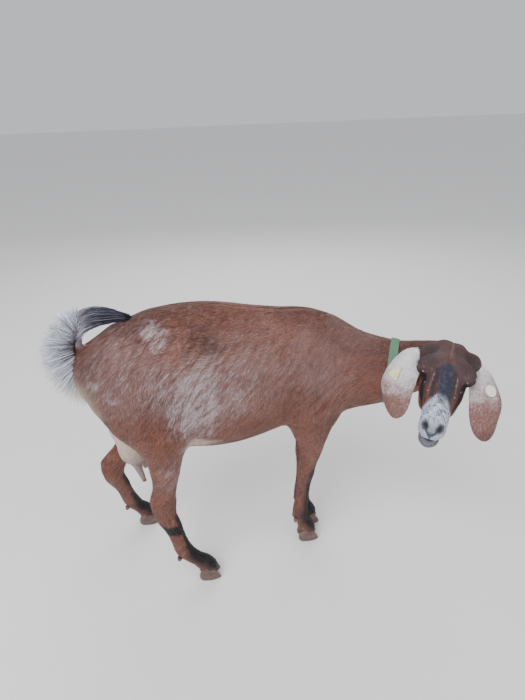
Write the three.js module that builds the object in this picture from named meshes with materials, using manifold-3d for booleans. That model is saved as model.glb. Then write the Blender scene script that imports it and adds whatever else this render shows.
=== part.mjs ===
// A young Nubian doe, standing with her head turned to her right and lowered.
// Millimetres, +Z up, +X from tail to chest, +Y to her left. The origin is moved at the end to the middle
// of her outer box, on the floor.

import * as THREE from 'three';
import { MarchingCubes } from 'three/addons/objects/MarchingCubes.js';
import { mergeVertices } from 'three/addons/utils/BufferGeometryUtils.js';
import Module from 'manifold-3d';

const wasm = await Module();
wasm.setup();

// Driving dimensions
const GAP = 0.3; // between neighbouring pieces
const WITHERS = 776; // height of the back above the forelegs
const HIPS = 818; // height of the back above the hind legs
const BELLY = 424; // height of the belly at its lowest
const BARREL = 145; // half the width of the trunk at the ribs
const HEAD_LENGTH = 264; // poll to lips
const EAR_WIDTH = 88;
const EAR_THICKNESS = 4.2;
const EYE_RADIUS = 13.5;
const CLAW_LENGTH = 67;
const CLAW_WIDTH = 24;
const CLAW_HEIGHT = 40;
const SOLE = 0; // the floor
const LEFT = new THREE.Vector3(0, 1, 0); // her left
const COLLAR_WIDTH = 21;
const COLLAR_THICKNESS = 3;
const RING_RADIUS = 11;
const RING_WIRE = 2;
const BUTTON_RADIUS = 14; // the round ear tag
const TAG_STANDOFF = 1.4; // between an ear and its tag
const PIN_RADIUS = 4.7;
const PIN_HEIGHT = 2.4;
const TRUNK_CELL = 32;
const HEAD_CELL = 12;

// The head's place: the poll, and how the face is turned, pitched and tilted, in degrees
const POLL = [606, -180, 716];
const HEAD_TURN = -123.7;
const HEAD_PITCH = 14.8;
const HEAD_TILT = -8.6;

// Joints of the four legs, from the body down, each at the middle of the bone
const FORE_RIGHT = {
  shoulder: [286, -86, 540], elbow: [288, -78, 455], forearm: [288, -60, 365], knee: [279, -44, 288],
  fetlock: [268, -24, 112], coronet: [290, -16, 44],
};
const FORE_LEFT = {
  shoulder: [290, 86, 540], elbow: [294, 80, 455], forearm: [300, 66, 365], knee: [296, 54, 288],
  fetlock: [288, 50, 112], coronet: [310, 54, 44],
};
const HIND_RIGHT = {
  hip: [-164, -78, 625], stifle: [-110, -106, 515], gaskin: [-113, -110, 410], hock: [-131, -98, 262],
  fetlock: [-90, -104, 105], coronet: [-28, -109, 44],
};
const HIND_LEFT = {
  hip: [-176, 78, 625], stifle: [-156, 106, 515], gaskin: [-203, 110, 405], hock: [-288, 100, 262],
  fetlock: [-256, 136, 106], coronet: [-216, 150, 44],
};

// Half widths across and half depths fore and aft, along a leg
const FORE_GIRTH = {
  shoulder: [46, 78], elbow: [40, 50], forearm: [29, 31], wrist: [23, 25], knee: [26, 26.5],
  under: [19, 20.5], cannon: [16.5, 19.5], fetlock: [22, 25], pastern: [19, 20], coronet: [25, 27],
};
const HIND_GIRTH = {
  hip: [66, 105], stifle: [50, 64], gaskin: [31, 42], shank: [23, 31], hock: [25, 35], under: [20, 27],
  cannon: [17.5, 22], fetlock: [22, 25], pastern: [19, 20], coronet: [25, 27],
};

// Colours
const BAY = 0x7a3f2a;
const FROST = 0xb39a94;
const SLATE = 0x35343b;
const PALE = 0xd9cdbd;
const HORN = 0x4a433d;
const TAG_YELLOW = 0xd8dfa6;
const TAG_WHITE = 0xf0eedd;
const WEBBING = 0x3f7a5c;
const STEEL = 0x9aa0a8;

// Fields. A field tells how far a point lies outside a form, and is negative inside it.

function joined(a, b, blend) {
  const near = Math.max(blend - Math.abs(a - b), 0) / blend;
  return Math.min(a, b) - near * near * blend * 0.25;
}

function together(blend, ...fields) {
  return (x, y, z) => fields.reduce((sum, field) => joined(sum, field(x, y, z), blend), Infinity);
}

function hollowed(field, hollow, blend) {
  return (x, y, z) => -joined(-field(x, y, z), hollow(x, y, z), blend);
}

function within(field, limit) {
  return (x, y, z) => Math.max(field(x, y, z), limit(x, y, z));
}

function ellipsoid(u, v, w, a, b, c) {
  const k0 = Math.hypot(u / a, v / b, w / c);
  const k1 = Math.hypot(u / (a * a), v / (b * b), w / (c * c));
  return k1 > 0 ? k0 * (k0 - 1) / k1 : -Math.min(a, b, c);
}

function mass([cx, cy, cz], [a, b, c]) {
  return (x, y, z) => ellipsoid(x - cx, y - cy, z - cz, a, b, c);
}

const curveThrough = (points) => new THREE.CatmullRomCurve3(
  points.map((at) => new THREE.Vector3(...at)), false, 'centripetal');

// A limb or trunk through stations of [centre, [half width along the side direction, half depth]]
function limb(stations, side = LEFT, steps = 3) {
  const path = curveThrough(stations.map(([at]) => at));
  const girth = curveThrough(stations.map(([, [wide, deep]], i) => [wide, deep, i * 1000]));
  const count = (stations.length - 1) * steps;
  const points = [];
  for (let i = 0; i <= count; i++) points.push([path.getPoint(i / count), girth.getPoint(i / count)]);
  const parts = points.slice(1).map(([end, endGirth], i) => {
    const [start, startGirth] = points[i];
    const along = end.clone().sub(start);
    const axis = along.clone().normalize();
    const across = side.clone().addScaledVector(axis, -side.dot(axis)).normalize();
    const up = axis.clone().cross(across);
    return { start, axis, across, up, length: along.length(), startGirth, endGirth };
  });
  return (x, y, z) => {
    let nearest = Infinity;
    for (const { start, axis, across, up, length, startGirth, endGirth } of parts) {
      const px = x - start.x;
      const py = y - start.y;
      const pz = z - start.z;
      const along = px * axis.x + py * axis.y + pz * axis.z;
      const part = Math.min(Math.max(along / length, 0), 1);
      const wide = startGirth.x + (endGirth.x - startGirth.x) * part;
      const deep = startGirth.y + (endGirth.y - startGirth.y) * part;
      const beyond = along - part * length;
      const off = px * across.x + py * across.y + pz * across.z;
      const rise = px * up.x + py * up.y + pz * up.z;
      nearest = Math.min(nearest, ellipsoid(off, rise, beyond, wide, deep, Math.min(wide, deep)));
    }
    return nearest;
  };
}

// How far a point lies ahead of a plane
function plane({ point, normal }) {
  const n = new THREE.Vector3(...normal).normalize();
  const offset = n.dot(new THREE.Vector3(...point));
  return (x, y, z) => n.x * x + n.y * y + n.z * z - offset;
}

// The field of a form given in its own frame
function placed(field, matrix) {
  const m = matrix.clone().invert().elements;
  return (x, y, z) => field(
    m[0] * x + m[4] * y + m[8] * z + m[12],
    m[1] * x + m[5] * y + m[9] * z + m[13],
    m[2] * x + m[6] * y + m[10] * z + m[14],
  );
}

// Meshes

function bare(geometry, tolerance = 1e-3) {
  const plain = geometry.clone();
  for (const name of Object.keys(plain.attributes)) {
    if (name !== 'position') plain.deleteAttribute(name);
  }
  return mergeVertices(plain, tolerance);
}

function solid(geometry) {
  const plain = bare(geometry);
  const corners = Array.from(plain.index.array);
  const triangles = [];
  for (let i = 0; i < corners.length; i += 3) {
    const [a, b, c] = corners.slice(i, i + 3);
    if (a !== b && b !== c && c !== a) triangles.push(a, b, c);
  }
  const whole = new wasm.Manifold(new wasm.Mesh({
    numProp: 3,
    vertProperties: Float32Array.from(plain.attributes.position.array),
    triVerts: Uint32Array.from(triangles),
  }));
  return whole.volume() < 0 ? solid(turned(plain)) : whole;
}

function turned(geometry) {
  const other = geometry.clone();
  const corners = Array.from(other.index.array);
  for (let i = 0; i < corners.length; i += 3) {
    [corners[i], corners[i + 1]] = [corners[i + 1], corners[i]];
  }
  other.setIndex(corners);
  return other;
}

function geometryOf(whole) {
  const mesh = whole.getMesh();
  const geometry = new THREE.BufferGeometry();
  geometry.setAttribute('position', new THREE.Float32BufferAttribute(mesh.vertProperties, 3));
  geometry.setIndex(Array.from(mesh.triVerts));
  return geometry;
}

// A boolean's result without the loose scraps
function largest(whole) {
  const pieces = whole.decompose();
  return pieces.reduce((most, piece) => (piece.volume() > most.volume() ? piece : most));
}

function slope(field, x, y, z, step = 0.5) {
  return new THREE.Vector3(
    field(x + step, y, z) - field(x - step, y, z),
    field(x, y + step, z) - field(x, y - step, z),
    field(x, y, z + step) - field(x, y, z - step),
  ).divideScalar(2 * step);
}

// Evens out a mesh on a field's surface: each vertex slides to its neighbours' middle, then back out
function evened(geometry, field, rounds) {
  const position = geometry.attributes.position;
  const corners = geometry.index.array;
  const near = Array.from({ length: position.count }, () => new Set());
  for (let i = 0; i < corners.length; i += 3) {
    for (let j = 0; j < 3; j++) {
      near[corners[i + j]].add(corners[i + (j + 1) % 3]);
      near[corners[i + (j + 1) % 3]].add(corners[i + j]);
    }
  }
  for (let round = 0; round < rounds; round++) {
    const old = Float32Array.from(position.array);
    near.forEach((others, i) => {
      const point = new THREE.Vector3(0, 0, 0);
      for (const j of others) point.add(new THREE.Vector3(old[3 * j], old[3 * j + 1], old[3 * j + 2]));
      point.divideScalar(others.size);
      for (let step = 0; step < 2; step++) {
        const normal = slope(field, point.x, point.y, point.z);
        const steep = Math.max(normal.lengthSq(), 0.05);
        point.addScaledVector(normal, -field(point.x, point.y, point.z) / steep);
      }
      position.setXYZ(i, point.x, point.y, point.z);
    });
  }
  return geometry;
}

// The surface of a field within a cube about a centre, on a grid that may be bent
function surface(field, [cx, cy, cz], span, cell, bend = (x, y, z) => [x, y, z]) {
  const size = Math.ceil(span / cell) + 5;
  const half = size / 2;
  const least = 0.02 * cell;
  const cubes = new MarchingCubes(size, new THREE.MeshBasicMaterial(), false, false, 60000);
  cubes.isolation = 0;
  for (let k = 0; k < size; k++) {
    for (let j = 0; j < size; j++) {
      for (let i = 0; i < size; i++) {
        const [x, y, z] = [cx + (i - half) * cell, cy + (j - half) * cell, cz + (k - half) * cell];
        const value = field(...bend(x, y, z));
        cubes.field[(k * size + j) * size + i] = Math.abs(value) < least ? least : -value;
      }
    }
  }
  cubes.update();
  const corners = cubes.positionArray.slice(0, cubes.count * 3);
  const geometry = new THREE.BufferGeometry();
  geometry.setAttribute('position', new THREE.BufferAttribute(corners, 3));
  geometry.scale(half * cell, half * cell, half * cell);
  geometry.translate(cx, cy, cz);
  const { position } = geometry.attributes;
  for (let i = 0; i < position.count; i++) {
    position.setXYZ(i, ...bend(position.getX(i), position.getY(i), position.getZ(i)));
  }
  return evened(bare(geometry, 1e-2), field, 3);
}

// A closed tube about a curve, whose rings lie where rays from the curve leave the field
function wrapped(field, points, side, around, along, reach) {
  const path = curveThrough(points);
  const ball = new THREE.SphereGeometry(1, around, along);
  const { position, uv } = ball.attributes;
  for (let i = 0; i < position.count; i++) {
    const row = Math.round((1 - uv.getY(i)) * along);
    const part = Math.min(Math.max((row - 1) / (along - 2), 0), 1);
    const centre = path.getPointAt(part);
    if (row > 0 && row < along) {
      const axis = path.getTangentAt(part);
      const across = side.clone().addScaledVector(axis, -side.dot(axis)).normalize();
      const up = axis.clone().cross(across);
      const angle = 2 * Math.PI * uv.getX(i);
      const ray = across.multiplyScalar(Math.cos(angle)).addScaledVector(up, Math.sin(angle));
      centre.addScaledVector(ray, exit(field, centre, ray, reach(part)));
    }
    position.setXYZ(i, centre.x, centre.y, centre.z);
  }
  return ball;
}

function exit(field, start, ray, reach) {
  const at = (r) => field(start.x + ray.x * r, start.y + ray.y * r, start.z + ray.z * r);
  const stride = 2;
  let far = stride;
  while (far < reach && at(far) < 0) far += stride;
  if (far >= reach) return reach;
  let near = far - stride;
  for (let i = 0; i < 12; i++) {
    const middle = (near + far) / 2;
    if (at(middle) < 0) near = middle;
    else far = middle;
  }
  return far;
}

// A mesh with each vertex moved out along its normal
function grown(geometry, by) {
  const wide = bare(geometry);
  wide.computeVertexNormals();
  const { position, normal } = wide.attributes;
  for (let i = 0; i < position.count; i++) {
    position.setXYZ(i, position.getX(i) + normal.getX(i) * by, position.getY(i) + normal.getY(i) * by,
      position.getZ(i) + normal.getZ(i) * by);
  }
  return wide;
}

// The part of a solid behind a plane, and the part ahead of it, half a gap away each
function behind(whole, point, normal) {
  const n = new THREE.Vector3(...normal).normalize();
  const offset = n.dot(new THREE.Vector3(...point)) - GAP / 2;
  return whole.trimByPlane([-n.x, -n.y, -n.z], -offset);
}

function ahead(whole, point, normal) {
  return behind(whole, point, normal.map((value) => -value));
}

const between = (a, b, part) => a.map((value, i) => value + (b[i] - value) * part);
const moved = (a, dx, dy, dz) => [a[0] + dx, a[1] + dy, a[2] + dz];

// Trunk and neck

function trunkField() {
  const bellyAt = (x) => BELLY + ((x - 40) / 10) ** 2 * (x < 40 ? 0.24 : 0.1);
  const stations = [
    [-260, 668, 48, 60], [-238, 658, 82, 84], [-202, 645, 110, 108],
  ].map(([x, z, deep, wide]) => [[x, 0, z], [wide, deep]]);
  const backs = [
    [-160, HIPS - 36, 124], [-105, HIPS - 9, 134], [-35, HIPS, 141], [30, HIPS - 4, BARREL],
    [95, HIPS - 16, BARREL], [160, WITHERS + 14, BARREL - 10], [220, WITHERS + 2, BARREL - 25],
  ];
  for (const [x, top, wide] of backs) {
    const bottom = bellyAt(x);
    stations.push([[x, 0, (top + bottom) / 2], [wide, (top - bottom) / 2]]);
  }
  stations.push([[278, 0, 610], [98, 158]], [[330, -4, 604], [78, 148]], [[366, -10, 598], [58, 112]]);
  return together(20, limb(stations), mass([26, 0, BELLY + 118], [215, BARREL - 6, 118]));
}

function shoulderField(side) {
  return together(30,
    limb([
      [[262, side * 70, 722], [26, 34]],
      [[300, side * 84, 640], [38, 62]],
      [[322, side * 84, 560], [34, 52]],
    ]),
    mass([290, side * 80, 500], [46, 36, 62]));
}

function haunchField(side, { hip, stifle }) {
  return together(26,
    limb([
      [moved(hip, -30, side * 6, 90), [30, 46]], [hip, HIND_GIRTH.hip],
      [moved(between(hip, stifle, 0.6), -18, 0, 0), [56, 84]], [stifle, HIND_GIRTH.stifle],
    ]),
    mass([-246, side * 50, 676], [28, 28, 32]));
}

const NECK_PATH = [
  [[262, 0, 626], [88, 130]], [[330, -14, 616], [76, 132]], [[392, -48, 618], [62, 118]],
  [[446, -86, 628], [53, 98]], [[500, -120, 642], [48, 76]], [[552, -144, 660], [46, 62]],
  [[590, -158, 668], [42, 52]],
];
const NECK_SIDE = new THREE.Vector3(0.62, 0.78, 0);
const neckField = limb(NECK_PATH, NECK_SIDE);

function foreField(side, joints) {
  const girth = FORE_GIRTH;
  const { shoulder, elbow, forearm, knee, fetlock, coronet } = joints;
  return together(6, limb([
    [shoulder, girth.shoulder], [elbow, girth.elbow], [forearm, girth.forearm],
    [between(forearm, knee, 0.6), girth.wrist], [knee, girth.knee],
    [between(knee, fetlock, 0.22), girth.under], [between(knee, fetlock, 0.6), girth.cannon],
    [fetlock, girth.fetlock],
    [moved(between(fetlock, coronet, 0.5), -2, 0, 0), girth.pastern], [coronet, girth.coronet],
    [moved(coronet, 4, 0, -14), [25, 28]],
  ]), mass(moved(elbow, -34, side * 4, -6), [22, 16, 26]));
}

function hindField(side, joints) {
  const girth = HIND_GIRTH;
  const { stifle, gaskin, hock, fetlock, coronet } = joints;
  const heelCord = limb([
    [moved(hock, -24, 0, 30), [11, 13]], [moved(between(hock, gaskin, 0.45), -26, 0, 0), [9, 10]],
  ]);
  return together(8, heelCord, limb([
    [stifle, girth.stifle], [gaskin, girth.gaskin], [between(gaskin, hock, 0.5), girth.shank],
    [moved(hock, 0, 0, 20), girth.hock], [moved(hock, 0, 0, -22), girth.hock.map((value) => value - 4)],
    [between(hock, fetlock, 0.35), girth.under], [between(hock, fetlock, 0.65), girth.cannon],
    [fetlock, girth.fetlock], [moved(between(fetlock, coronet, 0.5), -2, 0, 0), girth.pastern],
    [coronet, girth.coronet], [moved(coronet, 4, 0, -14), [25, 28]],
  ]));
}

const foreleg = (side, joints) => (
  { side, joints, field: foreField(side, joints), cut: moved(joints.elbow, 0, 0, -18) });
const hindleg = (side, joints) => (
  { side, joints, field: hindField(side, joints), cut: moved(joints.gaskin, 2, 0, 14) });
const LEGS = {
  fore_right: foreleg(-1, FORE_RIGHT),
  fore_left: foreleg(1, FORE_LEFT),
  hind_right: hindleg(-1, HIND_RIGHT),
  hind_left: hindleg(1, HIND_LEFT),
};

const flankHollow = (side) => mass([-92, side * 168, 700], [50, 34, 52]);
const trunk = together(34, trunkField(), shoulderField(-1), shoulderField(1),
  haunchField(-1, HIND_RIGHT), haunchField(1, HIND_LEFT));
const body = together(24, hollowed(hollowed(trunk, flankHollow(-1), 26), flankHollow(1), 26),
  ...Object.values(LEGS).map((leg) => leg.field));
const flesh = together(40, body, neckField);

const NECK_CUT = { point: [356, -26, 645], normal: [0.93, -0.36, 0.08] };
const THROAT_CUT = { point: [572, -150, 670], normal: [0.31, -0.95, -0.1] };

// Head, in its own frame: x from the poll to the lips, y to her left, z up from the brow

const FACE_REACH = 268; // from the poll to the lips, in the head's own frame
const HEAD_FRAME = new THREE.Matrix4().compose(
  new THREE.Vector3(...POLL),
  new THREE.Quaternion().setFromEuler(
    new THREE.Euler(...[HEAD_TILT, HEAD_PITCH, HEAD_TURN].map(THREE.MathUtils.degToRad), 'ZYX')),
  new THREE.Vector3(1, 1, 1).multiplyScalar(HEAD_LENGTH / FACE_REACH),
);
const EYE = [97, 51, 3];
const NOSTRIL = [252, 15, -9];

function headField() {
  const profile = [
    [-6, -36, 34, 40], [28, -32, 56, 50], [66, -26, 60, 50], [104, -18, 51, 44], [142, -13, 44, 38],
    [184, -13, 38, 32], [222, -17, 32, 28], [246, -21, 27, 24],
  ].map(([x, z, deep, wide]) => [[x, 0, z], [wide, deep]]);
  const parts = [limb(profile)];
  for (const side of [-1, 1]) {
    parts.push(
      mass([0, side * 19, -8], [22, 17, 17]), // poll
      mass([84, side * 42, 9], [28, 18, 15]), // brow
      mass([EYE[0], side * EYE[1], EYE[2] + 1], [21, EYE_RADIUS + 3, 15]), // lids
      mass([60, side * 34, -58], [48, 18, 34]), // jaw
      mass([104, side * 29, -44], [78, 18, 26]), // cheek
      mass([118, side * 36, -24], [42, 13, 16]), // cheekbone
      mass([24, side * 50, -10], [28, 24, 20]), // root of the ear
      mass([240, side * 14, -8], [17, 12, 15]), // nostril wing
      mass([249, side * 10, -27], [19, 15, 12]), // upper lip
    );
  }
  parts.push(
    mass([138, 0, 12], [84, 17, 18]), // bridge of the nose
    mass([166, 0, -48], [86, 20, 17]), // lower jaw
    mass([244, 0, -55], [27, 20, 17]), // chin and lower lip
  );
  return together(12, ...parts);
}

const headLocal = headField();
const headWorld = placed(headLocal, HEAD_FRAME);
const nape = together(22, flesh, headWorld);
const beforeThroat = plane(THROAT_CUT);
const headFlesh = together(22, headWorld, within(neckField, (x, y, z) => -32 - beforeThroat(x, y, z)));

function inHead(at) {
  return new THREE.Vector3(...at).applyMatrix4(HEAD_FRAME);
}

function roundShape(radius, corners) {
  return new THREE.Shape(Array.from({ length: corners }, (_, i) => {
    const angle = 2 * Math.PI * i / corners;
    return new THREE.Vector2(radius * Math.cos(angle), radius * Math.sin(angle));
  }));
}

function eyeSolid(side, radius) {
  const ball = new THREE.SphereGeometry(radius, 14, 8);
  const centre = inHead([EYE[0], side * EYE[1], EYE[2]]);
  return solid(ball.translate(centre.x, centre.y, centre.z));
}

// The opening between the lids: an almond, cut from the eye outwards
function lidOpening(side) {
  const almond = new THREE.Shape();
  almond.moveTo(-EYE_RADIUS, -1);
  almond.quadraticCurveTo(0, EYE_RADIUS * 1.15, EYE_RADIUS, 1.5);
  almond.quadraticCurveTo(0, -EYE_RADIUS * 0.85, -EYE_RADIUS, -1);
  const depth = 3 * EYE_RADIUS;
  const cutter = new THREE.ExtrudeGeometry(almond, { depth, bevelEnabled: false, curveSegments: 5 });
  const outward = new THREE.Vector3(0.2, side * 0.94, 0.28).normalize();
  const forward = new THREE.Vector3(1, 0, -0.18).addScaledVector(outward, -outward.x).normalize();
  cutter.applyMatrix4(new THREE.Matrix4().makeBasis(forward, outward.clone().cross(forward), outward));
  cutter.translate(EYE[0], side * EYE[1], EYE[2]);
  return solid(cutter.applyMatrix4(HEAD_FRAME));
}

// The line between the lips, from the front of the mouth to its corner
function mouthLine(side) {
  const points = [[284, 0, -41], [262, side * 20, -40], [238, side * 28, -39], [203, side * 32, -38]];
  const extrudePath = curveThrough(points.map((at) => inHead(at).toArray()));
  return solid(new THREE.ExtrudeGeometry(roundShape(2, 5), { steps: 9, bevelEnabled: false, extrudePath }));
}

function nostril(side) {
  const [x, y, z] = NOSTRIL;
  const slit = new THREE.SphereGeometry(1, 10, 7);
  slit.scale(11, 6, 4.6);
  slit.rotateX(side * 0.5);
  slit.rotateY(0.7);
  slit.rotateZ(side * -0.35);
  slit.translate(x + 3, side * (y + 3), z);
  return solid(slit.applyMatrix4(HEAD_FRAME));
}

// Ears: a hanging leaf, cupped at its root and nearly flat at its tip, with a blunt rim

const EARS = {
  right: {
    side: -1, root: [20, -50, -4], out: [498, -182, 702], middle: [451, -222, 656], tip: [450, -240, 575],
    turn: new THREE.Vector3(-0.75, -0.6, 0.25), // the way its outer face looks
  },
  left: {
    side: 1, root: [20, 50, -6], out: [656, -252, 677], middle: [645, -298, 640], tip: [621, -342, 556],
    turn: new THREE.Vector3(0.1, -0.85, 0.5),
  },
};

function earPath({ root, out, middle, tip }) {
  return curveThrough([inHead(root).toArray(), out, middle, tip]);
}

// Half the ear's width: narrow at the root, widest past the middle, with a round tip
function earHalf(part) {
  const root = THREE.MathUtils.lerp(0.5, 1, THREE.MathUtils.smoothstep(part, 0, 0.45));
  const tip = Math.sqrt(Math.max(1 - Math.max((part - 0.62) / 0.38, 0) ** 2.4, 0.004));
  return EAR_WIDTH / 2 * root * tip;
}

// A point of the ear: part from root to tip, across from -1 to 1, and lift off the middle of the sheet
function earPoint(ear, path, part, across, lift) {
  const half = earHalf(part);
  const bend = THREE.MathUtils.lerp(2, 0.6, THREE.MathUtils.smoothstep(part, 0, 0.45));
  const radius = half / bend;
  const axis = path.getTangentAt(part);
  const outer = ear.turn.clone().addScaledVector(axis, -ear.turn.dot(axis)).normalize();
  const sideways = axis.clone().cross(outer);
  const angle = bend * across;
  return path.getPointAt(part)
    .addScaledVector(sideways, Math.sin(angle) * (radius + lift))
    .addScaledVector(outer, (Math.cos(angle) - 1) * radius + Math.cos(angle) * lift);
}

function leaf(pointAt, columns, rows, thickness) {
  const points = [];
  const corners = [];
  const index = (face, i, j) => (face * (rows + 1) + j) * (columns + 1) + i;
  for (const face of [0, 1]) {
    for (let j = 0; j <= rows; j++) {
      for (let i = 0; i <= columns; i++) {
        const across = 2 * i / columns - 1;
        const lift = (face - 0.5) * thickness(j / rows, across);
        points.push(...pointAt(j / rows, across, lift).toArray());
      }
    }
  }
  const quad = (a, b, c, d) => corners.push(a, b, c, a, c, d);
  for (let j = 0; j < rows; j++) {
    for (let i = 0; i < columns; i++) {
      quad(index(1, i, j), index(1, i + 1, j), index(1, i + 1, j + 1), index(1, i, j + 1));
      corners.push(index(0, i, j), index(0, i + 1, j + 1), index(0, i + 1, j));
      corners.push(index(0, i, j), index(0, i, j + 1), index(0, i + 1, j + 1));
    }
  }
  for (let i = 0; i < columns; i++) {
    quad(index(0, i, 0), index(0, i + 1, 0), index(1, i + 1, 0), index(1, i, 0));
    quad(index(0, i + 1, rows), index(0, i, rows), index(1, i, rows), index(1, i + 1, rows));
  }
  for (let j = 0; j < rows; j++) {
    const last = columns;
    quad(index(0, 0, j + 1), index(0, 0, j), index(1, 0, j), index(1, 0, j + 1));
    quad(index(0, last, j), index(0, last, j + 1), index(1, last, j + 1), index(1, last, j));
  }
  const geometry = new THREE.BufferGeometry();
  geometry.setAttribute('position', new THREE.Float32BufferAttribute(points, 3));
  geometry.setIndex(corners);
  return geometry;
}

function earSolid(ear) {
  const path = earPath(ear);
  const thickness = (part, across) => EAR_THICKNESS * (1 - 0.55 * across * across) * (1 - 0.4 * part);
  return solid(leaf((part, across, lift) => earPoint(ear, path, part, across, lift), 8, 16, thickness));
}

// A tag on the outer face of an ear: a plate, turned in its own plane, with the head of its pin
function earTag(ear, [part, across], outline, turn, height) {
  const path = earPath(ear);
  const centre = earPoint(ear, path, part, across, 0);
  const outer = earPoint(ear, path, part, across, 10).sub(centre).normalize();
  const down = earPoint(ear, path, part + 0.08, across, 0).sub(centre);
  down.addScaledVector(outer, -down.dot(outer)).normalize();
  const up = down.negate();
  const basis = new THREE.Matrix4().makeBasis(up.clone().cross(outer), up, outer);
  basis.setPosition(centre.addScaledVector(outer, EAR_THICKNESS / 2 + TAG_STANDOFF));
  const plate = new THREE.ExtrudeGeometry(outline, { depth: height, bevelEnabled: false });
  plate.rotateZ(turn);
  const pin = new THREE.CylinderGeometry(PIN_RADIUS, PIN_RADIUS, PIN_HEIGHT, 12);
  pin.rotateX(Math.PI / 2).translate(0, 0, height + PIN_HEIGHT / 3);
  return solid(plate.applyMatrix4(basis)).add(solid(pin.applyMatrix4(basis)));
}

function roundedTriangle(wide, high) {
  const shape = new THREE.Shape();
  shape.moveTo(-wide * 0.42, -high * 0.5);
  shape.lineTo(wide * 0.42, -high * 0.5);
  shape.quadraticCurveTo(wide * 0.62, -high * 0.42, wide * 0.46, -high * 0.2);
  shape.lineTo(wide * 0.14, high * 0.46);
  shape.quadraticCurveTo(0, high * 0.6, -wide * 0.14, high * 0.46);
  shape.lineTo(-wide * 0.46, -high * 0.2);
  shape.quadraticCurveTo(-wide * 0.62, -high * 0.42, -wide * 0.42, -high * 0.5);
  return shape;
}

// Feet: two claws side by side with flat soles, and two dewclaws behind the pastern

function clawSolid(joints, side, inner) {
  const [cx, cy] = joints.coronet;
  const block = new THREE.SphereGeometry(1, 10, 7);
  const { position } = block.attributes;
  const spread = inner * side * -1;
  for (let i = 0; i < position.count; i++) {
    const x = position.getX(i);
    const y = position.getY(i);
    const z = position.getZ(i);
    const rise = (y + 1) / 2;
    const round = (value, power) => Math.sign(value) * Math.abs(value) ** power;
    const toe = x > 0 ? 1 - 0.42 * x * x : 1;
    const length = CLAW_LENGTH / 2 * (1.06 - 0.28 * rise);
    const px = round(x, 0.8) * length - 7 * rise + 6;
    const aside = spread * (14.6 + 5 * Math.max(x, 0) ** 2);
    const py = round(z, 0.7) * CLAW_WIDTH / 2 * toe * (1 - 0.12 * rise) + aside;
    const height = CLAW_HEIGHT * (x > 0 ? 1 - 0.25 * x : 1 - 0.1 * x * x);
    const pz = Math.max(round(y, 0.55) * 0.62 + 0.5, 0) * height;
    position.setXYZ(i, cx + px, cy + py, SOLE + pz);
  }
  return solid(block);
}

function dewclawSolid(joints, side, inner) {
  const [x, y, z] = joints.fetlock;
  const spread = inner * side * -1;
  const drop = new THREE.ConeGeometry(7.5, 17, 8);
  drop.rotateX(-Math.PI / 2);
  drop.rotateY(0.3);
  drop.translate(x - 19, y + spread * 12, z - 20);
  return solid(drop);
}

// Tail: the dock stands up from the rump, its hair fans out behind and arches forward over the back

const DOCK_PATH = [[[-262, 0, 672], [22, 26]], [[-286, 0, 700], [15, 18]], [[-291, 0, 736], [12, 13]],
  [[-281, 0, 766], [11, 13]], [[-258, 0, 790], [10, 12]]];
const PLUME_PATH = [[[-268, 0, 782], [10, 12]], [[-246, 0, 799], [9, 11]], [[-222, 0, 806], [6, 7]]];
const TAIL_CUT = { point: [-260, 0, 790], normal: [0.74, 0, 0.67] };
const PLUME_TIP = [-150, 0, 802];
const FAN_LOCK_WIDTH = 25;
const PLUME_LOCK_WIDTH = 21;
const LOCK_THICKNESS = 6;
const tailField = together(8, limb(DOCK_PATH), limb(PLUME_PATH));

// A repeatable draw from -1 to 1
function drawFrom(seed) {
  let state = seed;
  return () => {
    state = (state * 1664525 + 1013904223) % 4294967296;
    return state / 2147483648 - 1;
  };
}

// One direction turned towards another
function turnedBy(from, towards, angle) {
  return from.clone().multiplyScalar(Math.cos(angle)).addScaledVector(towards, Math.sin(angle));
}

// A flat lock of hair that follows a curve and tapers to its tip. Its broad side faces outward.
function lockSolid(points, outward, width, thickness) {
  const path = new THREE.CatmullRomCurve3(points);
  const blade = new THREE.SphereGeometry(1, 4, 5);
  const { position, uv } = blade.attributes;
  for (let i = 0; i < position.count; i++) {
    const part = 1 - uv.getY(i);
    const full = Math.sqrt(Math.min(part / 0.16, 1)) * (1 - part ** 2.2) ** 0.8;
    const axis = path.getTangentAt(part);
    const across = axis.clone().cross(outward).normalize();
    const thick = across.clone().cross(axis);
    const angle = 2 * Math.PI * uv.getX(i);
    const at = path.getPointAt(part)
      .addScaledVector(across, Math.cos(angle) * width / 2 * full)
      .addScaledVector(thick, Math.sin(angle) * thickness / 2 * full);
    position.setXYZ(i, at.x, at.y, at.z);
  }
  return solid(blade);
}

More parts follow.
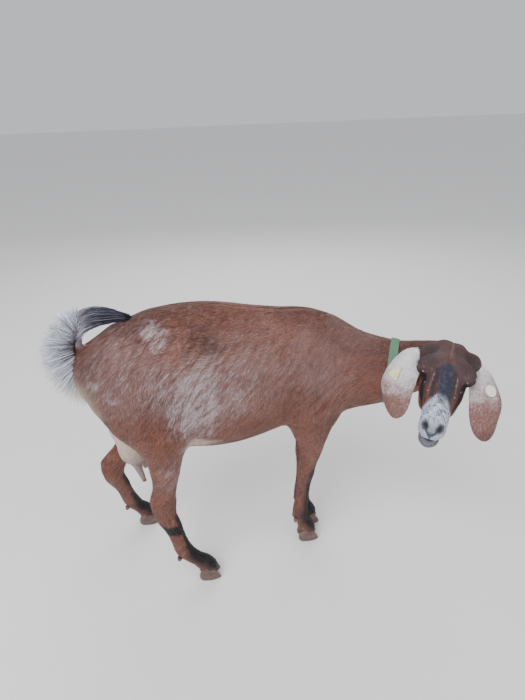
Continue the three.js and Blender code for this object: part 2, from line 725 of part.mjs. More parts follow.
// The fan behind the dock: rows up the dock, each spread from side to side. Low locks hang, high ones rise.
function fanLocks() {
  const draw = drawFrom(7);
  const dock = curveThrough(DOCK_PATH.map(([at]) => at));
  const rise = new THREE.CatmullRomCurve3([[-68, 102], [-46, 96], [-16, 86], [8, 78], [30, 58]]
    .map(([angle, length]) => new THREE.Vector3(angle, length, 0)));
  const locks = [];
  const rows = 6;
  for (let row = 0; row < rows; row++) {
    const columns = row % 2 ? 4 : 5;
    for (let column = 0; column < columns; column++) {
      const { x: angle, y: length } = rise.getPoint(row / (rows - 1));
      const spread = 2 * column / (columns - 1) - 1;
      const lift = THREE.MathUtils.degToRad(angle + 7 * draw());
      const sideways = spread * 0.95 + 0.08 * draw();
      const back = new THREE.Vector3(-Math.cos(lift), 0, Math.sin(lift));
      const out = turnedBy(back, LEFT, sideways);
      const start = dock.getPointAt(0.04 + 0.9 * row / (rows - 1)).addScaledVector(out, 3);
      const reach = length * (0.92 + 0.1 * draw()) * (1 - 0.16 * spread * spread);
      const middle = start.clone().addScaledVector(out, reach * 0.5);
      const tip = start.clone().addScaledVector(out.clone().lerp(back, 0.3).normalize(), reach);
      middle.z += reach * 0.04;
      tip.z -= reach * 0.1;
      const face = turnedBy(LEFT, back, -sideways);
      const twist = (column % 2 ? 1 : -1) * THREE.MathUtils.lerp(1.1, 0.2, row / (rows - 1));
      face.addScaledVector(back.clone().cross(LEFT), twist);
      locks.push(lockSolid([start, middle, tip], face.normalize(), FAN_LOCK_WIDTH, LOCK_THICKNESS));
    }
  }
  return locks;
}

// The plume: locks that leave the end of the dock all round and run forward to its tip
function plumeLocks() {
  const draw = drawFrom(23);
  const plume = curveThrough([...PLUME_PATH.map(([at]) => at), [-190, 0, 808], PLUME_TIP]);
  const locks = [];
  const rows = 2;
  const columns = 6;
  for (let row = 0; row < rows; row++) {
    for (let column = 0; column < columns; column++) {
      const angle = 2 * Math.PI * (column + 0.5 * (row % 2)) / columns;
      const reach = 0.56 + 0.05 * draw();
      const points = [0, 0.5, 1].map((step) => {
        const at = Math.min(0.06 + 0.4 * row + step * reach, 1);
        const up = LEFT.clone().cross(plume.getTangentAt(at));
        const away = 3 + (10 - 4 * row) * Math.sin(Math.PI * (0.15 + 0.75 * step));
        return plume.getPointAt(at)
          .addScaledVector(up, Math.sin(angle) * away)
          .addScaledVector(LEFT, Math.cos(angle) * away);
      });
      const face = new THREE.Vector3(0, Math.cos(angle), Math.sin(angle));
      locks.push(lockSolid(points, face, PLUME_LOCK_WIDTH, LOCK_THICKNESS));
    }
  }
  return locks;
}

// Collar: a loose strap round the neck with a steel ring at the throat

const COLLAR = { centre: [486, -112, 638], normal: new THREE.Vector3(0.9, -0.42, -0.05).normalize() };
const COLLAR_SLACK = 2.7;

function collarPoint(angle, offset, lift) {
  const { centre, normal } = COLLAR;
  const up = new THREE.Vector3(0, 0, 1).addScaledVector(normal, -normal.z).normalize();
  const ray = turnedBy(up.clone().cross(normal), up, angle);
  const start = new THREE.Vector3(...centre).addScaledVector(normal, offset);
  return start.addScaledVector(ray, exit(nape, start, ray, 200) + COLLAR_SLACK + lift);
}

function collarSolid() {
  const ring = new THREE.TorusGeometry(1, 0.5, 4, 30);
  const { position, uv } = ring.attributes;
  for (let i = 0; i < position.count; i++) {
    const corner = Math.round(uv.getY(i) * 4) % 4;
    const lift = corner === 0 || corner === 3 ? COLLAR_THICKNESS : 0;
    const offset = corner < 2 ? COLLAR_WIDTH / 2 : -COLLAR_WIDTH / 2;
    const at = collarPoint(2 * Math.PI * uv.getX(i), offset, lift);
    position.setXYZ(i, at.x, at.y, at.z);
  }
  return solid(ring);
}

function collarRing() {
  const hang = collarPoint(-Math.PI / 2 + 0.25, 0, COLLAR_THICKNESS + 1);
  const ring = new THREE.TorusGeometry(RING_RADIUS, RING_WIRE, 6, 16);
  ring.rotateY(Math.PI / 2);
  return solid(ring.translate(hang.x, hang.y, hang.z - RING_RADIUS - RING_WIRE - 2));
}

// Udder

const bagField = together(20, mass([-196, 0, 484], [62, 52, 58]), mass([-202, -22, 424], [34, 28, 48]),
  mass([-202, 22, 424], [34, 28, 48]));

function teat(side) {
  const cone = new THREE.CylinderGeometry(12, 6.5, 76, 9, 2);
  cone.rotateX(Math.PI / 2 + side * 0.12);
  cone.rotateY(-0.26);
  return solid(cone.translate(-190, side * 27, 348));
}

// Build

const model = new THREE.Group();
const solids = {};

function add(name, whole, colour, roughness = 0.8, metalness = 0) {
  const material = new THREE.MeshStandardMaterial({ color: colour, roughness, metalness });
  const mesh = new THREE.Mesh(geometryOf(whole), material);
  mesh.name = name;
  model.add(mesh);
  solids[name] = whole;
}

// The block below a leg's cut, which the trunk leaves to the leg
function roomUnder(leg) {
  const [x, , z] = leg.cut;
  const height = 240;
  const block = new THREE.BoxGeometry(154, 170, height);
  return solid(block.translate(x, leg.side * 101, z - height / 2 + GAP / 2));
}

function buildTrunk() {
  const limits = (x, y, z) => Math.max(x - 420, 372 - z);
  let whole = solid(surface(within(flesh, limits), [40, 0, 620], 820, TRUNK_CELL));
  whole = behind(whole, NECK_CUT.point, NECK_CUT.normal);
  for (const leg of Object.values(LEGS)) whole = whole.subtract(roomUnder(leg));
  return largest(whole);
}

function buildNeck() {
  const points = [...NECK_PATH.map(([at]) => at), [628, -168, 690]];
  let whole = solid(wrapped(nape, points, NECK_SIDE, 22, 18, () => 260));
  whole = ahead(whole, NECK_CUT.point, NECK_CUT.normal);
  whole = behind(whole, THROAT_CUT.point, THROAT_CUT.normal);
  return largest(whole);
}

// The head's grid lies in its own frame, and its cells shrink towards the muzzle
function towardsMuzzle(x, y, z) {
  const small = THREE.MathUtils.lerp(1, 0.64, THREE.MathUtils.smoothstep(x, 60, 250));
  const past = Math.max(x - 60, 0);
  return inHead([x - 0.3 * past, y * small, (z + 26) * small - 26]).toArray();
}

function buildHead() {
  let whole = solid(surface(headFlesh, [130, 0, -26], 460, HEAD_CELL, towardsMuzzle));
  whole = ahead(whole, THROAT_CUT.point, THROAT_CUT.normal);
  for (const side of [-1, 1]) {
    whole = whole.subtract(lidOpening(side)).subtract(eyeSolid(side, EYE_RADIUS + GAP));
    whole = whole.subtract(mouthLine(side)).subtract(nostril(side));
  }
  return largest(whole);
}

function buildLeg(leg) {
  const { joints } = leg;
  const upper = joints.elbow ? [joints.shoulder, joints.elbow, joints.forearm, joints.knee]
    : [moved(joints.stifle, 0, 0, 10), joints.gaskin, joints.hock];
  const points = [...upper, joints.fetlock, joints.coronet, moved(joints.coronet, 3, 0, -10)];
  const whole = solid(wrapped(body, points, LEFT, 12, 24, (part) => (part < 0.3 ? 74 : 60)));
  return largest(ahead(whole, leg.cut, [0, 0, -1]));
}

add('torso', buildTrunk(), BAY);
add('neck', buildNeck(), BAY);
add('head', buildHead(), BAY);

const trunkClear = solid(grown(geometryOf(solids.torso), GAP));
const neckClear = solid(grown(geometryOf(solids.neck), GAP));
const headClear = solid(grown(geometryOf(solids.head), GAP));
add('collar', collarSolid(), WEBBING, 0.9);
add('collar_ring', collarRing(), STEEL, 0.3, 0.9);
const collarClear = solid(grown(geometryOf(solids.collar), GAP));
for (const [name, ear] of Object.entries(EARS)) {
  add(`eye_${name}`, eyeSolid(ear.side, EYE_RADIUS), SLATE, 0.2);
  const room = wasm.Manifold.union([headClear, neckClear, collarClear]);
  add(`ear_${name}`, largest(earSolid(ear).subtract(room)), FROST);
}
const triangleTag = earTag(EARS.right, [0.5, 0.2], roundedTriangle(34, 25), Math.PI / 2, 1.6);
add('ear_tag_right', triangleTag, TAG_YELLOW, 0.5);
const buttonTag = earTag(EARS.left, [0.43, -0.05], roundShape(BUTTON_RADIUS, 20), 0, 2.2);
add('ear_tag_left', buttonTag, TAG_WHITE, 0.5);

for (const [place, leg] of Object.entries(LEGS)) {
  let whole = buildLeg(leg).subtract(trunkClear);
  for (const [which, inner] of [['outer', -1], ['inner', 1]]) {
    const claw = clawSolid(leg.joints, leg.side, inner);
    const dewclaw = dewclawSolid(leg.joints, leg.side, inner);
    for (const horn of [claw, dewclaw]) whole = whole.subtract(solid(grown(geometryOf(horn), GAP)));
    add(`claw_${place}_${which}`, claw, HORN, 0.6);
    add(`dewclaw_${place}_${which}`, dewclaw, HORN, 0.6);
  }
  add(place.replace('_', 'leg_'), largest(whole), BAY);
}

const bag = solid(surface(bagField, [-210, 0, 450], 210, 17));
add('udder', largest(bag.add(teat(-1)).add(teat(1)).subtract(trunkClear)), PALE);
const tail = solid(surface(tailField, [-240, 0, 750], 220, 9));
const dock = behind(wasm.Manifold.union([tail, ...fanLocks()]), TAIL_CUT.point, TAIL_CUT.normal);
const plume = ahead(wasm.Manifold.union([tail, ...plumeLocks()]), TAIL_CUT.point, TAIL_CUT.normal);
add('tail_dock', largest(dock.subtract(trunkClear)), BAY);
add('tail_plume', largest(plume.subtract(trunkClear)), SLATE);

const box = new THREE.Box3().setFromObject(model);
model.position.set(-(box.min.x + box.max.x) / 2, -(box.min.y + box.max.y) / 2, -box.min.z);

export default model;
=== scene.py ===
from contextlib import contextmanager
from functools import reduce
from math import cos, pi, radians, sin

import bmesh
import bpy
import numpy as np
from mathutils import Matrix, Vector
from mathutils.bvhtree import BVHTree


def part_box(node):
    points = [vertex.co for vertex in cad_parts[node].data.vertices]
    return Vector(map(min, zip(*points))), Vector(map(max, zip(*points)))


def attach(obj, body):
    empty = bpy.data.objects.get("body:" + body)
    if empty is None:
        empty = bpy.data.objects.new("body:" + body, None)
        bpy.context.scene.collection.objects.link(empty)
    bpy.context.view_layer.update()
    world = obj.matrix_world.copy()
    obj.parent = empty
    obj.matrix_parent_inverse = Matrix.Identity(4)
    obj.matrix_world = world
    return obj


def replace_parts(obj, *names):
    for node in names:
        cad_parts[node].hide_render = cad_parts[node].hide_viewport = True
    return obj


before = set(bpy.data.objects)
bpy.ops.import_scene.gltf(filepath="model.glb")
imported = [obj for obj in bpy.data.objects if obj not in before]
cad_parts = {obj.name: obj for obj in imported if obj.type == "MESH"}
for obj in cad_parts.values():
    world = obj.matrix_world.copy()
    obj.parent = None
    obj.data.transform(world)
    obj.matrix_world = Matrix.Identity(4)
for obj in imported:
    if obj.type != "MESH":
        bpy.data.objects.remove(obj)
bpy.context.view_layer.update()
scene = bpy.context.scene
print("frame loaded")

# The head's place in the drawing, in millimetres and degrees, and the eye's place on the head.
# The right eye's solid then gives the drawing's origin in the frame.
headPlace = {"poll": (606, -180, 716), "turn": -123.7, "pitch": 14.8, "tilt": -8.6, "scale": 264 / 268,
             "eye": (97, 51, 3), "eyeRadius": 0.0135}


def headMatrixFrom(origin):
    turn = Matrix.Rotation(radians(headPlace["turn"]), 4, "Z")
    turn = turn @ Matrix.Rotation(radians(headPlace["pitch"]), 4, "Y")
    turn = turn @ Matrix.Rotation(radians(headPlace["tilt"]), 4, "X")
    poll = Vector(headPlace["poll"]) / 1000 + origin
    return Matrix.Translation(poll) @ turn @ Matrix.Scale(headPlace["scale"] / 1000, 4)


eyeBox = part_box("eye_right")
eyeX, eyeY, eyeZ = headPlace["eye"]
origin = (eyeBox[0] + eyeBox[1]) / 2 - headMatrixFrom(Vector()) @ Vector((eyeX, -eyeY, eyeZ))
headMatrix = headMatrixFrom(origin)
headInverse = np.array(headMatrix.inverted())


def at(x, y, z):  # a place of the drawing, in the frame
    return origin + Vector((x, y, z)) / 1000


def inHead(x, y, z):  # a place on the head, whose x runs from poll to lips, in the frame
    return headMatrix @ Vector((x, y, z))


def drawn(points):  # many places of the frame, as millimetres of the drawing
    return (np.asarray(points) - np.array(origin)) * 1000


def headward(points):  # many places of the frame, in the head's own millimetres
    return np.asarray(points) @ headInverse[:3, :3].T + headInverse[:3, 3]


# Curves and meshes

def curveThrough(points, count, fine=40):  # a smooth line through points, evenly stepped
    knots = np.array([Vector(p) for p in points], float)
    knots = np.vstack([2 * knots[0] - knots[1], knots, 2 * knots[-1] - knots[-2]])
    line = []
    for i in range(1, len(knots) - 2):
        p0, p1, p2, p3 = knots[i - 1:i + 3]
        t0, t1 = 0.0, np.linalg.norm(p1 - p0) ** 0.5
        t2 = t1 + np.linalg.norm(p2 - p1) ** 0.5
        t3 = t2 + np.linalg.norm(p3 - p2) ** 0.5
        for t in np.linspace(t1, t2, fine)[(i > 1):]:
            a1 = (t1 - t) / (t1 - t0) * p0 + (t - t0) / (t1 - t0) * p1
            a2 = (t2 - t) / (t2 - t1) * p1 + (t - t1) / (t2 - t1) * p2
            a3 = (t3 - t) / (t3 - t2) * p2 + (t - t2) / (t3 - t2) * p3
            b1 = (t2 - t) / (t2 - t0) * a1 + (t - t0) / (t2 - t0) * a2
            b2 = (t3 - t) / (t3 - t1) * a2 + (t - t1) / (t3 - t1) * a3
            line.append((t2 - t) / (t2 - t1) * b1 + (t - t1) / (t2 - t1) * b2)
    line = np.array(line)
    length = np.concatenate([[0], np.cumsum(np.linalg.norm(np.diff(line, axis=0), axis=1))])
    steps = np.linspace(0, length[-1], count)
    return np.stack([np.interp(steps, length, line[:, k]) for k in range(3)], axis=1)


def onLine(line, part):  # places along a line, from 0 to 1
    steps = np.linspace(0, 1, len(line))
    return np.stack([np.interp(part, steps, line[:, k]) for k in range(3)], axis=-1)


def unit(vectors):
    return vectors / np.maximum(np.linalg.norm(vectors, axis=-1, keepdims=True), 1e-12)


def smoothstep(low, high, value):
    t = np.clip((np.asarray(value, float) - low) / (high - low), 0, 1)
    return t * t * (3 - 2 * t)


def objectFrom(name, bm):
    mesh = bpy.data.meshes.new(name)
    bm.to_mesh(mesh)
    bm.free()
    return linked(name, mesh)


def linked(name, data):
    obj = bpy.data.objects.new(name, data)
    scene.collection.objects.link(obj)
    return obj


def shownMesh(obj):  # a new mesh of what the object shows
    bpy.context.view_layer.update()
    return bpy.data.meshes.new_from_object(obj.evaluated_get(bpy.context.evaluated_depsgraph_get()))


def settled(obj):  # the object with its modifiers applied
    mesh = shownMesh(obj)
    mesh.name = obj.name
    old = obj.data
    obj.modifiers.clear()
    obj.data = mesh
    if old.users == 0:
        bpy.data.meshes.remove(old)
    return obj


def modified(obj, kind, **settings):
    modifier = obj.modifiers.new(kind.lower(), kind)
    for key, value in settings.items():
        setattr(modifier, key, value)


def meshFrom(curve):  # a curve's own surface, closed
    holder = linked(curve.name, curve)
    mesh = shownMesh(holder)
    bpy.data.objects.remove(holder)
    bm = bmesh.new()
    bm.from_mesh(mesh)
    bmesh.ops.remove_doubles(bm, verts=bm.verts, dist=1e-6)
    bmesh.ops.recalc_face_normals(bm, faces=bm.faces)
    return objectFrom(curve.name, bm)


def tube(name, points, radii, cyclic=False, around=3):  # a closed tube along points
    curve = bpy.data.curves.new(name, "CURVE")
    curve.dimensions = "3D"
    curve.bevel_depth = 1
    curve.bevel_resolution = around
    curve.use_fill_caps = not cyclic
    line = curve.splines.new("POLY")
    line.points.add(len(points) - 1)
    line.use_cyclic_u = cyclic
    for spot, point, radius in zip(line.points, points, radii):
        spot.co = (*point, 1)
        spot.radius = radius
    return meshFrom(curve)


def mergedCopy(names, swell):  # copies of solids, merged and a little swollen so that neighbours meet
    whole = bmesh.new()
    for name in names:
        part = bmesh.new()
        part.from_mesh(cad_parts[name].data)
        bmesh.ops.remove_doubles(part, verts=part.verts, dist=1e-6)
        part.normal_update()
        for vert in part.verts:
            vert.co += vert.normal * swell
        mesh = bpy.data.meshes.new(name)
        part.to_mesh(mesh)
        part.free()
        whole.from_mesh(mesh)
        bpy.data.meshes.remove(mesh)
    return whole


@contextmanager
def edited(obj):  # the object's mesh as a bmesh, written back after use
    bm = bmesh.new()
    bm.from_mesh(obj.data)
    yield bm
    bm.to_mesh(obj.data)
    bm.free()


def taken(items, key, width=1, kind=np.int64):  # one value of each item of a mesh, as numbers
    values = np.empty(len(items) * width, kind)
    items.foreach_get(key, values)
    return values.reshape(-1, width) if width > 1 else values


def pointsOf(mesh):
    return taken(mesh.vertices, "co", 3, float)


def normalsOf(mesh):
    return taken(mesh.vertex_normals, "vector", 3, float)


def setPoints(mesh, points):
    mesh.vertices.foreach_set("co", np.ascontiguousarray(points, np.float32).ravel())
    mesh.update()


evening = {"pull": 0.5, "push": -0.52}


def eased(mesh, strength, rounds):  # evens out a mesh without shrinking it
    points = pointsOf(mesh)
    a, b = taken(mesh.edges, "vertices", 2).T
    count = len(points)
    near = np.maximum(np.bincount(a, minlength=count) + np.bincount(b, minlength=count), 1)
    for turn in range(rounds * 2):
        pull = evening["pull"] if turn % 2 == 0 else evening["push"]
        total = np.stack([np.bincount(a, points[b, k], count) + np.bincount(b, points[a, k], count)
                          for k in range(3)], axis=1)
        points = points + (total / near[:, None] - points) * (pull * strength)[:, None]
    setPoints(mesh, points)


# The ears: hanging leaves, cupped at the root, the same lines as in the drawing
ears = {
    "right": {"root": (20, -50, -4), "line": ((498, -182, 702), (451, -222, 656), (450, -240, 575)),
              "outward": (-0.75, -0.6, 0.25)},
    "left": {"root": (20, 50, -6), "line": ((656, -252, 677), (645, -298, 640), (621, -342, 556)),
             "outward": (0.1, -0.85, 0.5)},
}
earForm = {"width": 0.088, "thickness": 0.0034, "columns": 18, "rows": 44, "opened": 0.45, "rootShare": 0.5,
           "rootBend": 2, "straightened": 1.4, "tipFrom": 0.55, "tipReach": 0.45, "tipPower": 2.1,
           "tipLeast": 0.004, "ripple": 0.0011, "ripples": 9}


def earLine(ear, count=201):
    return curveThrough([inHead(*ear["root"]), *[at(*point) for point in ear["line"]]], count)


def earPoints(ear, part, across, lift):  # places on an ear: from root to tip, side to side, and off the sheet
    line = earLine(ear)
    axis = unit(onLine(np.gradient(line, axis=0), part))
    outward = np.array(ear["outward"])
    outer = unit(outward - axis * (axis @ outward)[:, None])
    sideways = np.cross(axis, outer)
    narrowing = np.maximum((part - earForm["tipFrom"]) / earForm["tipReach"], 0) ** earForm["tipPower"]
    tip = np.sqrt(np.maximum(1 - narrowing, earForm["tipLeast"]))
    opened = smoothstep(0, earForm["opened"], part)
    half = earForm["width"] / 2 * (earForm["rootShare"] + (1 - earForm["rootShare"]) * opened) * tip
    bend = earForm["rootBend"] - earForm["straightened"] * opened
    radius = half / bend
    angle = bend * across
    return (onLine(line, part) + sideways * (np.sin(angle) * (radius + lift))[:, None]
            + outer * ((np.cos(angle) - 1) * radius + np.cos(angle) * lift)[:, None])


def earMesh(name, ear):
    bm = bmesh.new()
    bmesh.ops.create_grid(bm, x_segments=earForm["columns"], y_segments=earForm["rows"], size=1)
    bm.verts.ensure_lookup_table()
    grid = np.array([vert.co[:] for vert in bm.verts])
    wave = earForm["ripple"] * np.sin(grid[:, 1] * earForm["ripples"]) * grid[:, 0] ** 2
    places = earPoints(ear, (grid[:, 1] + 1) / 2, grid[:, 0], wave)
    for vert, place in zip(bm.verts, places):
        vert.co = place
    obj = objectFrom(name, bm)
    modified(obj, "SOLIDIFY", thickness=earForm["thickness"], offset=0, use_even_offset=True)
    modified(obj, "SUBSURF", levels=1, render_levels=1)
    settled(obj)
    with edited(obj) as bm:
        bmesh.ops.recalc_face_normals(bm, faces=bm.faces)
    return obj


# The dock of the tail, which the skin runs on into
dockForm = {"line": ((-262, 0, 672), (-286, 0, 700), (-291, 0, 736), (-281, 0, 766), (-258, 0, 790),
                     (-236, 0, 803)),
            "radii": (0.022, 0.0145, 0.0115, 0.0105, 0.0095, 0.006), "steps": 61}
dockLine = curveThrough([at(*point) for point in dockForm["line"]], dockForm["steps"])
dockSteps = np.linspace(0, 1, dockForm["steps"])
dockRadii = np.interp(dockSteps, np.linspace(0, 1, len(dockForm["radii"])), dockForm["radii"])

# One skin from the solids of flesh. The head is finer, and its join to the body lies under the collar.
skinForm = {"bodyVoxel": 0.005, "headVoxel": 0.0032, "swell": 0.0007, "bodyRounds": 34, "headRounds": 7,
            "legEasing": 0.3, "trunkEasing": 0.7, "headEasing": 0.9, "trunkHeight": (420, 500),
            "trunkLength": (-300, -250), "earRoots": (0.05, 0.03), "earRootRounds": 5, "overlap": 0.002,
            "collar": (486, -112, 638), "collarTurn": (0.9, -0.42, -0.05),
            "seamAngle": 1.2, "seamMargin": 0.001}
coatDepth = {"body": 0.0016, "leg": 0.0008, "head": 0.0006, "legTop": 400}  # the skin lies this far inside
fleshNodes = ["torso", "neck", "head", "foreleg_right", "foreleg_left", "hindleg_right", "hindleg_left",
              "ear_right", "ear_left", "udder"]
collarTurn = Vector(skinForm["collarTurn"]).normalized()
collarCentre = at(*skinForm["collar"])


def remeshed(name, names, voxel, extra=()):
    bm = mergedCopy(names, skinForm["swell"])
    for other in extra:
        bm.from_mesh(other.data)
        bpy.data.objects.remove(other)
    obj = objectFrom(name, bm)
    modified(obj, "REMESH", mode="VOXEL", voxel_size=voxel, use_smooth_shade=True)
    return settled(obj)


def keptSide(obj, ahead):  # the part of a mesh on one side of the collar, closed again
    overlap = skinForm["overlap"] if ahead else -skinForm["overlap"]
    with edited(obj) as bm:
        bmesh.ops.bisect_plane(bm, geom=bm.verts[:] + bm.edges[:] + bm.faces[:], plane_no=collarTurn,
                               plane_co=collarCentre - collarTurn * overlap,
                               clear_inner=ahead, clear_outer=not ahead)
        rim = [edge for edge in bm.edges if edge.is_boundary]
        bmesh.ops.holes_fill(bm, edges=rim, sides=0)
        bmesh.ops.recalc_face_normals(bm, faces=bm.faces)


def joinedTo(obj, other):
    modified(obj, "BOOLEAN", operation="UNION", solver="MANIFOLD", object=other)
    settled(obj)
    bpy.data.objects.remove(other)


dock = tube("dockCore", dockLine, dockRadii)
bodyNodes = ["torso", "neck", "foreleg_right", "foreleg_left", "hindleg_right", "hindleg_left", "udder"]
skin = remeshed("skin", bodyNodes, skinForm["bodyVoxel"], [dock])
x, y, z = drawn(pointsOf(skin.data)).T
trunkness = smoothstep(*skinForm["trunkHeight"], z) * smoothstep(*skinForm["trunkLength"], x)
eased(skin.data, skinForm["legEasing"] + skinForm["trunkEasing"] * trunkness, skinForm["bodyRounds"])
print("body skin", len(skin.data.polygons))
head = remeshed("headSkin", ["neck", "head"], skinForm["headVoxel"])
eased(head.data, np.full(len(head.data.vertices), skinForm["headEasing"]), skinForm["headRounds"])
print("head skin", len(head.data.polygons))
keptSide(skin, False)
keptSide(head, True)
joinedTo(skin, head)
for key, ear in ears.items():
    joinedTo(skin, earMesh("earSkin_" + key, ear))
skin.data.validate()
print("skin joined", len(skin.data.polygons), "faces")

# The folds, bones and hollows that the solids leave out: place, reach and rise, in millimetres.
# Those of the head are in its own frame, and each has its twin on the other side.
headRelief = (
    ((97, 56, 20), (22, 14, 8), 2.4), ((112, 58, -12), (16, 12, 5), -1.6), ((126, 46, -8), (9, 9, 16), -1.8),
    ((74, 40, -60), (34, 20, 24), 1.6), ((132, 34, -40), (26, 14, 10), -1.8),
    ((160, 24, 16), (42, 8, 10), -1.2), ((78, 32, 24), (26, 16, 16), 2.6),
    ((62, 0, 34), (36, 8, 14), -2.4), ((20, 24, 20), (16, 14, 14), 2.6),
    ((34, 0, 30), (16, 9, 14), -1.4), ((52, 60, 0), (14, 14, 16), 1.6), ((98, 60, -22), (20, 12, 5), 1.4),
    ((260, 14.5, -7), (10, 4.4, 6), -4.8), ((252, 22, -6), (9, 6, 9), 1.8), ((264, 8, -2), (8, 4, 6), 1.2),
    ((270, 0, -24), (8, 2.6, 12), -2.2), ((266, 12, -32), (12, 9, 7), 1.6),
    ((240, 28, -40), (30, 12, 2.6), -2.2), ((270, 0, -41), (12, 18, 2.4), -2.4),
    ((240, 30, -30), (26, 10, 8), 1.4), ((258, 0, -66), (17, 15, 11), 3.6),
    ((248, 20, -58), (24, 12, 12), 2.6),
    ((252, 26, -50), (20, 8, 9), -1.6), ((76, 14, 34), (20, 5, 10), -1.2),
)
bodyRelief = (
    ((-112, 74, 788), (26, 22, 16), 5), ((16, 104, 756), (34, 44, 26), -12),
    ((-66, 82, 779), (12, 22, 13), 5),
    ((-40, 106, 752), (11, 24, 16), 5), ((50, 110, 710), (40, 40, 20), 2), ((-250, 62, 700), (16, 22, 24), 4),
    ((-88, 100, 748), (18, 30, 22), -4), ((262, 96, 700), (18, 40, 70), 4), ((318, 88, 560), (26, 40, 40), 4),
    ((228, 120, 560), (18, 40, 80), -7), ((-196, 140, 570), (14, 40, 70), -5),
    ((-150, 150, 560), (30, 40, 60), 4), ((-64, 140, 545), (14, 40, 40), -6),
    ((250, 80, 452), (20, 34, 26), 4), ((-240, 100, 610), (18, 40, 60), -4),
    ((-30, 125, 500), (50, 20, 14), 4), ((200, 110, 760), (30, 30, 16), -3),
    ((268, 0, 772), (90, 62, 50), 7),
)
bagRelief = (((-206, 0, 424), (44, 60, 40), 9), ((-182, 0, 392), (34, 44, 26), 9))


def relieved(points, table, mirrored):  # how far each point is raised
    rise = np.zeros(len(points))
    for centre, reach, height in table:
        for side in ((1, -1) if mirrored and centre[1] else (1,)):
            off = (points - np.array(centre) * (1, side, 1)) / np.array(reach)
            rise += height * np.exp(-(off ** 2).sum(1))
    return rise


fleshTree = BVHTree.FromBMesh(mergedCopy(fleshNodes, 0), epsilon=0)
faceOwner = []
for i, name in enumerate(fleshNodes):
    owner = bmesh.new()
    owner.from_mesh(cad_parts[name].data)
    bmesh.ops.remove_doubles(owner, verts=owner.verts, dist=1e-6)
    faceOwner += [i] * len(owner.faces)
    owner.free()
points = pointsOf(skin.data)
ownerOf = np.array([faceOwner[fleshTree.find_nearest(Vector(p))[2]] for p in points])
owned = {name: ownerOf == i for i, name in enumerate(fleshNodes)}
isEar = owned["ear_right"] | owned["ear_left"]
isHead = owned["head"]
rootness = np.zeros(len(points))
for ear in ears.values():
    gap = np.linalg.norm(points - np.array(inHead(*ear["root"])), axis=1)
    rootness = np.maximum(rootness, smoothstep(*skinForm["earRoots"], gap))
eased(skin.data, rootness, skinForm["earRootRounds"])
inDrawing = drawn(points)
inward = np.where(isHead, coatDepth["head"], coatDepth["body"])
inward[isEar] = 0
inward[inDrawing[:, 2] < coatDepth["legTop"]] = coatDepth["leg"]
rise = np.where(isHead, relieved(headward(points), headRelief, True), 0)
rise += np.where(isHead | isEar | owned["udder"], 0, relieved(inDrawing, bodyRelief, True))
rise += relieved(inDrawing, bagRelief, False)
setPoints(skin.data, pointsOf(skin.data) + normalsOf(skin.data) * (rise / 1000 - inward)[:, None])
skin.data.shade_smooth()
print("skin shaped")

# The unwrap that the coat's patches are placed on
skin.data.uv_layers.new(name="OFBake")
bpy.context.view_layer.objects.active = skin
skin.select_set(True)
bpy.ops.object.mode_set(mode="EDIT")
bpy.ops.mesh.select_all(action="SELECT")
bpy.ops.uv.smart_project(angle_limit=skinForm["seamAngle"], island_margin=skinForm["seamMargin"])
bpy.ops.object.mode_set(mode="OBJECT")
print("skin unwrapped")


# Shaders

class Wire:  # a value in a material, which sums are written with
    def __init__(self, finish, socket):
        self.finish = finish
        self.socket = socket

    def maths(self, operation, *values):
        return self.finish.node("ShaderNodeMath", {"operation": operation}, dict(enumerate(values)))

    def __add__(self, other):
        return self.maths("ADD", self, other)

    def __radd__(self, other):
        return self.maths("ADD", other, self)

    def __sub__(self, other):
        return self.maths("SUBTRACT", self, other)

    def __rsub__(self, other):
        return self.maths("SUBTRACT", other, self)

    def __mul__(self, other):
        return self.maths("MULTIPLY", self, other)

    def __rmul__(self, other):
        return self.maths("MULTIPLY", other, self)

    def __truediv__(self, other):
        return self.maths("DIVIDE", self, other)

    def __pow__(self, other):
        return self.maths("POWER", self, other)

    def __abs__(self):
        return self.maths("ABSOLUTE", self)

    def sine(self):
        return self.maths("SINE", self)

    def most(self, other):
        return self.maths("MAXIMUM", self, other)

    def least(self, other):
        return self.maths("MINIMUM", self, other)

    def clipped(self):
        return self.most(0).least(1)

    def between(self, none, full):  # 0 at none, 1 at full, smooth from one to the other
        return self.finish.node("ShaderNodeMapRange", {"interpolation_type": "SMOOTHSTEP"}, {
            "Value": self, "From Min": min(none, full), "From Max": max(none, full),
            "To Min": float(none > full), "To Max": float(none < full)})


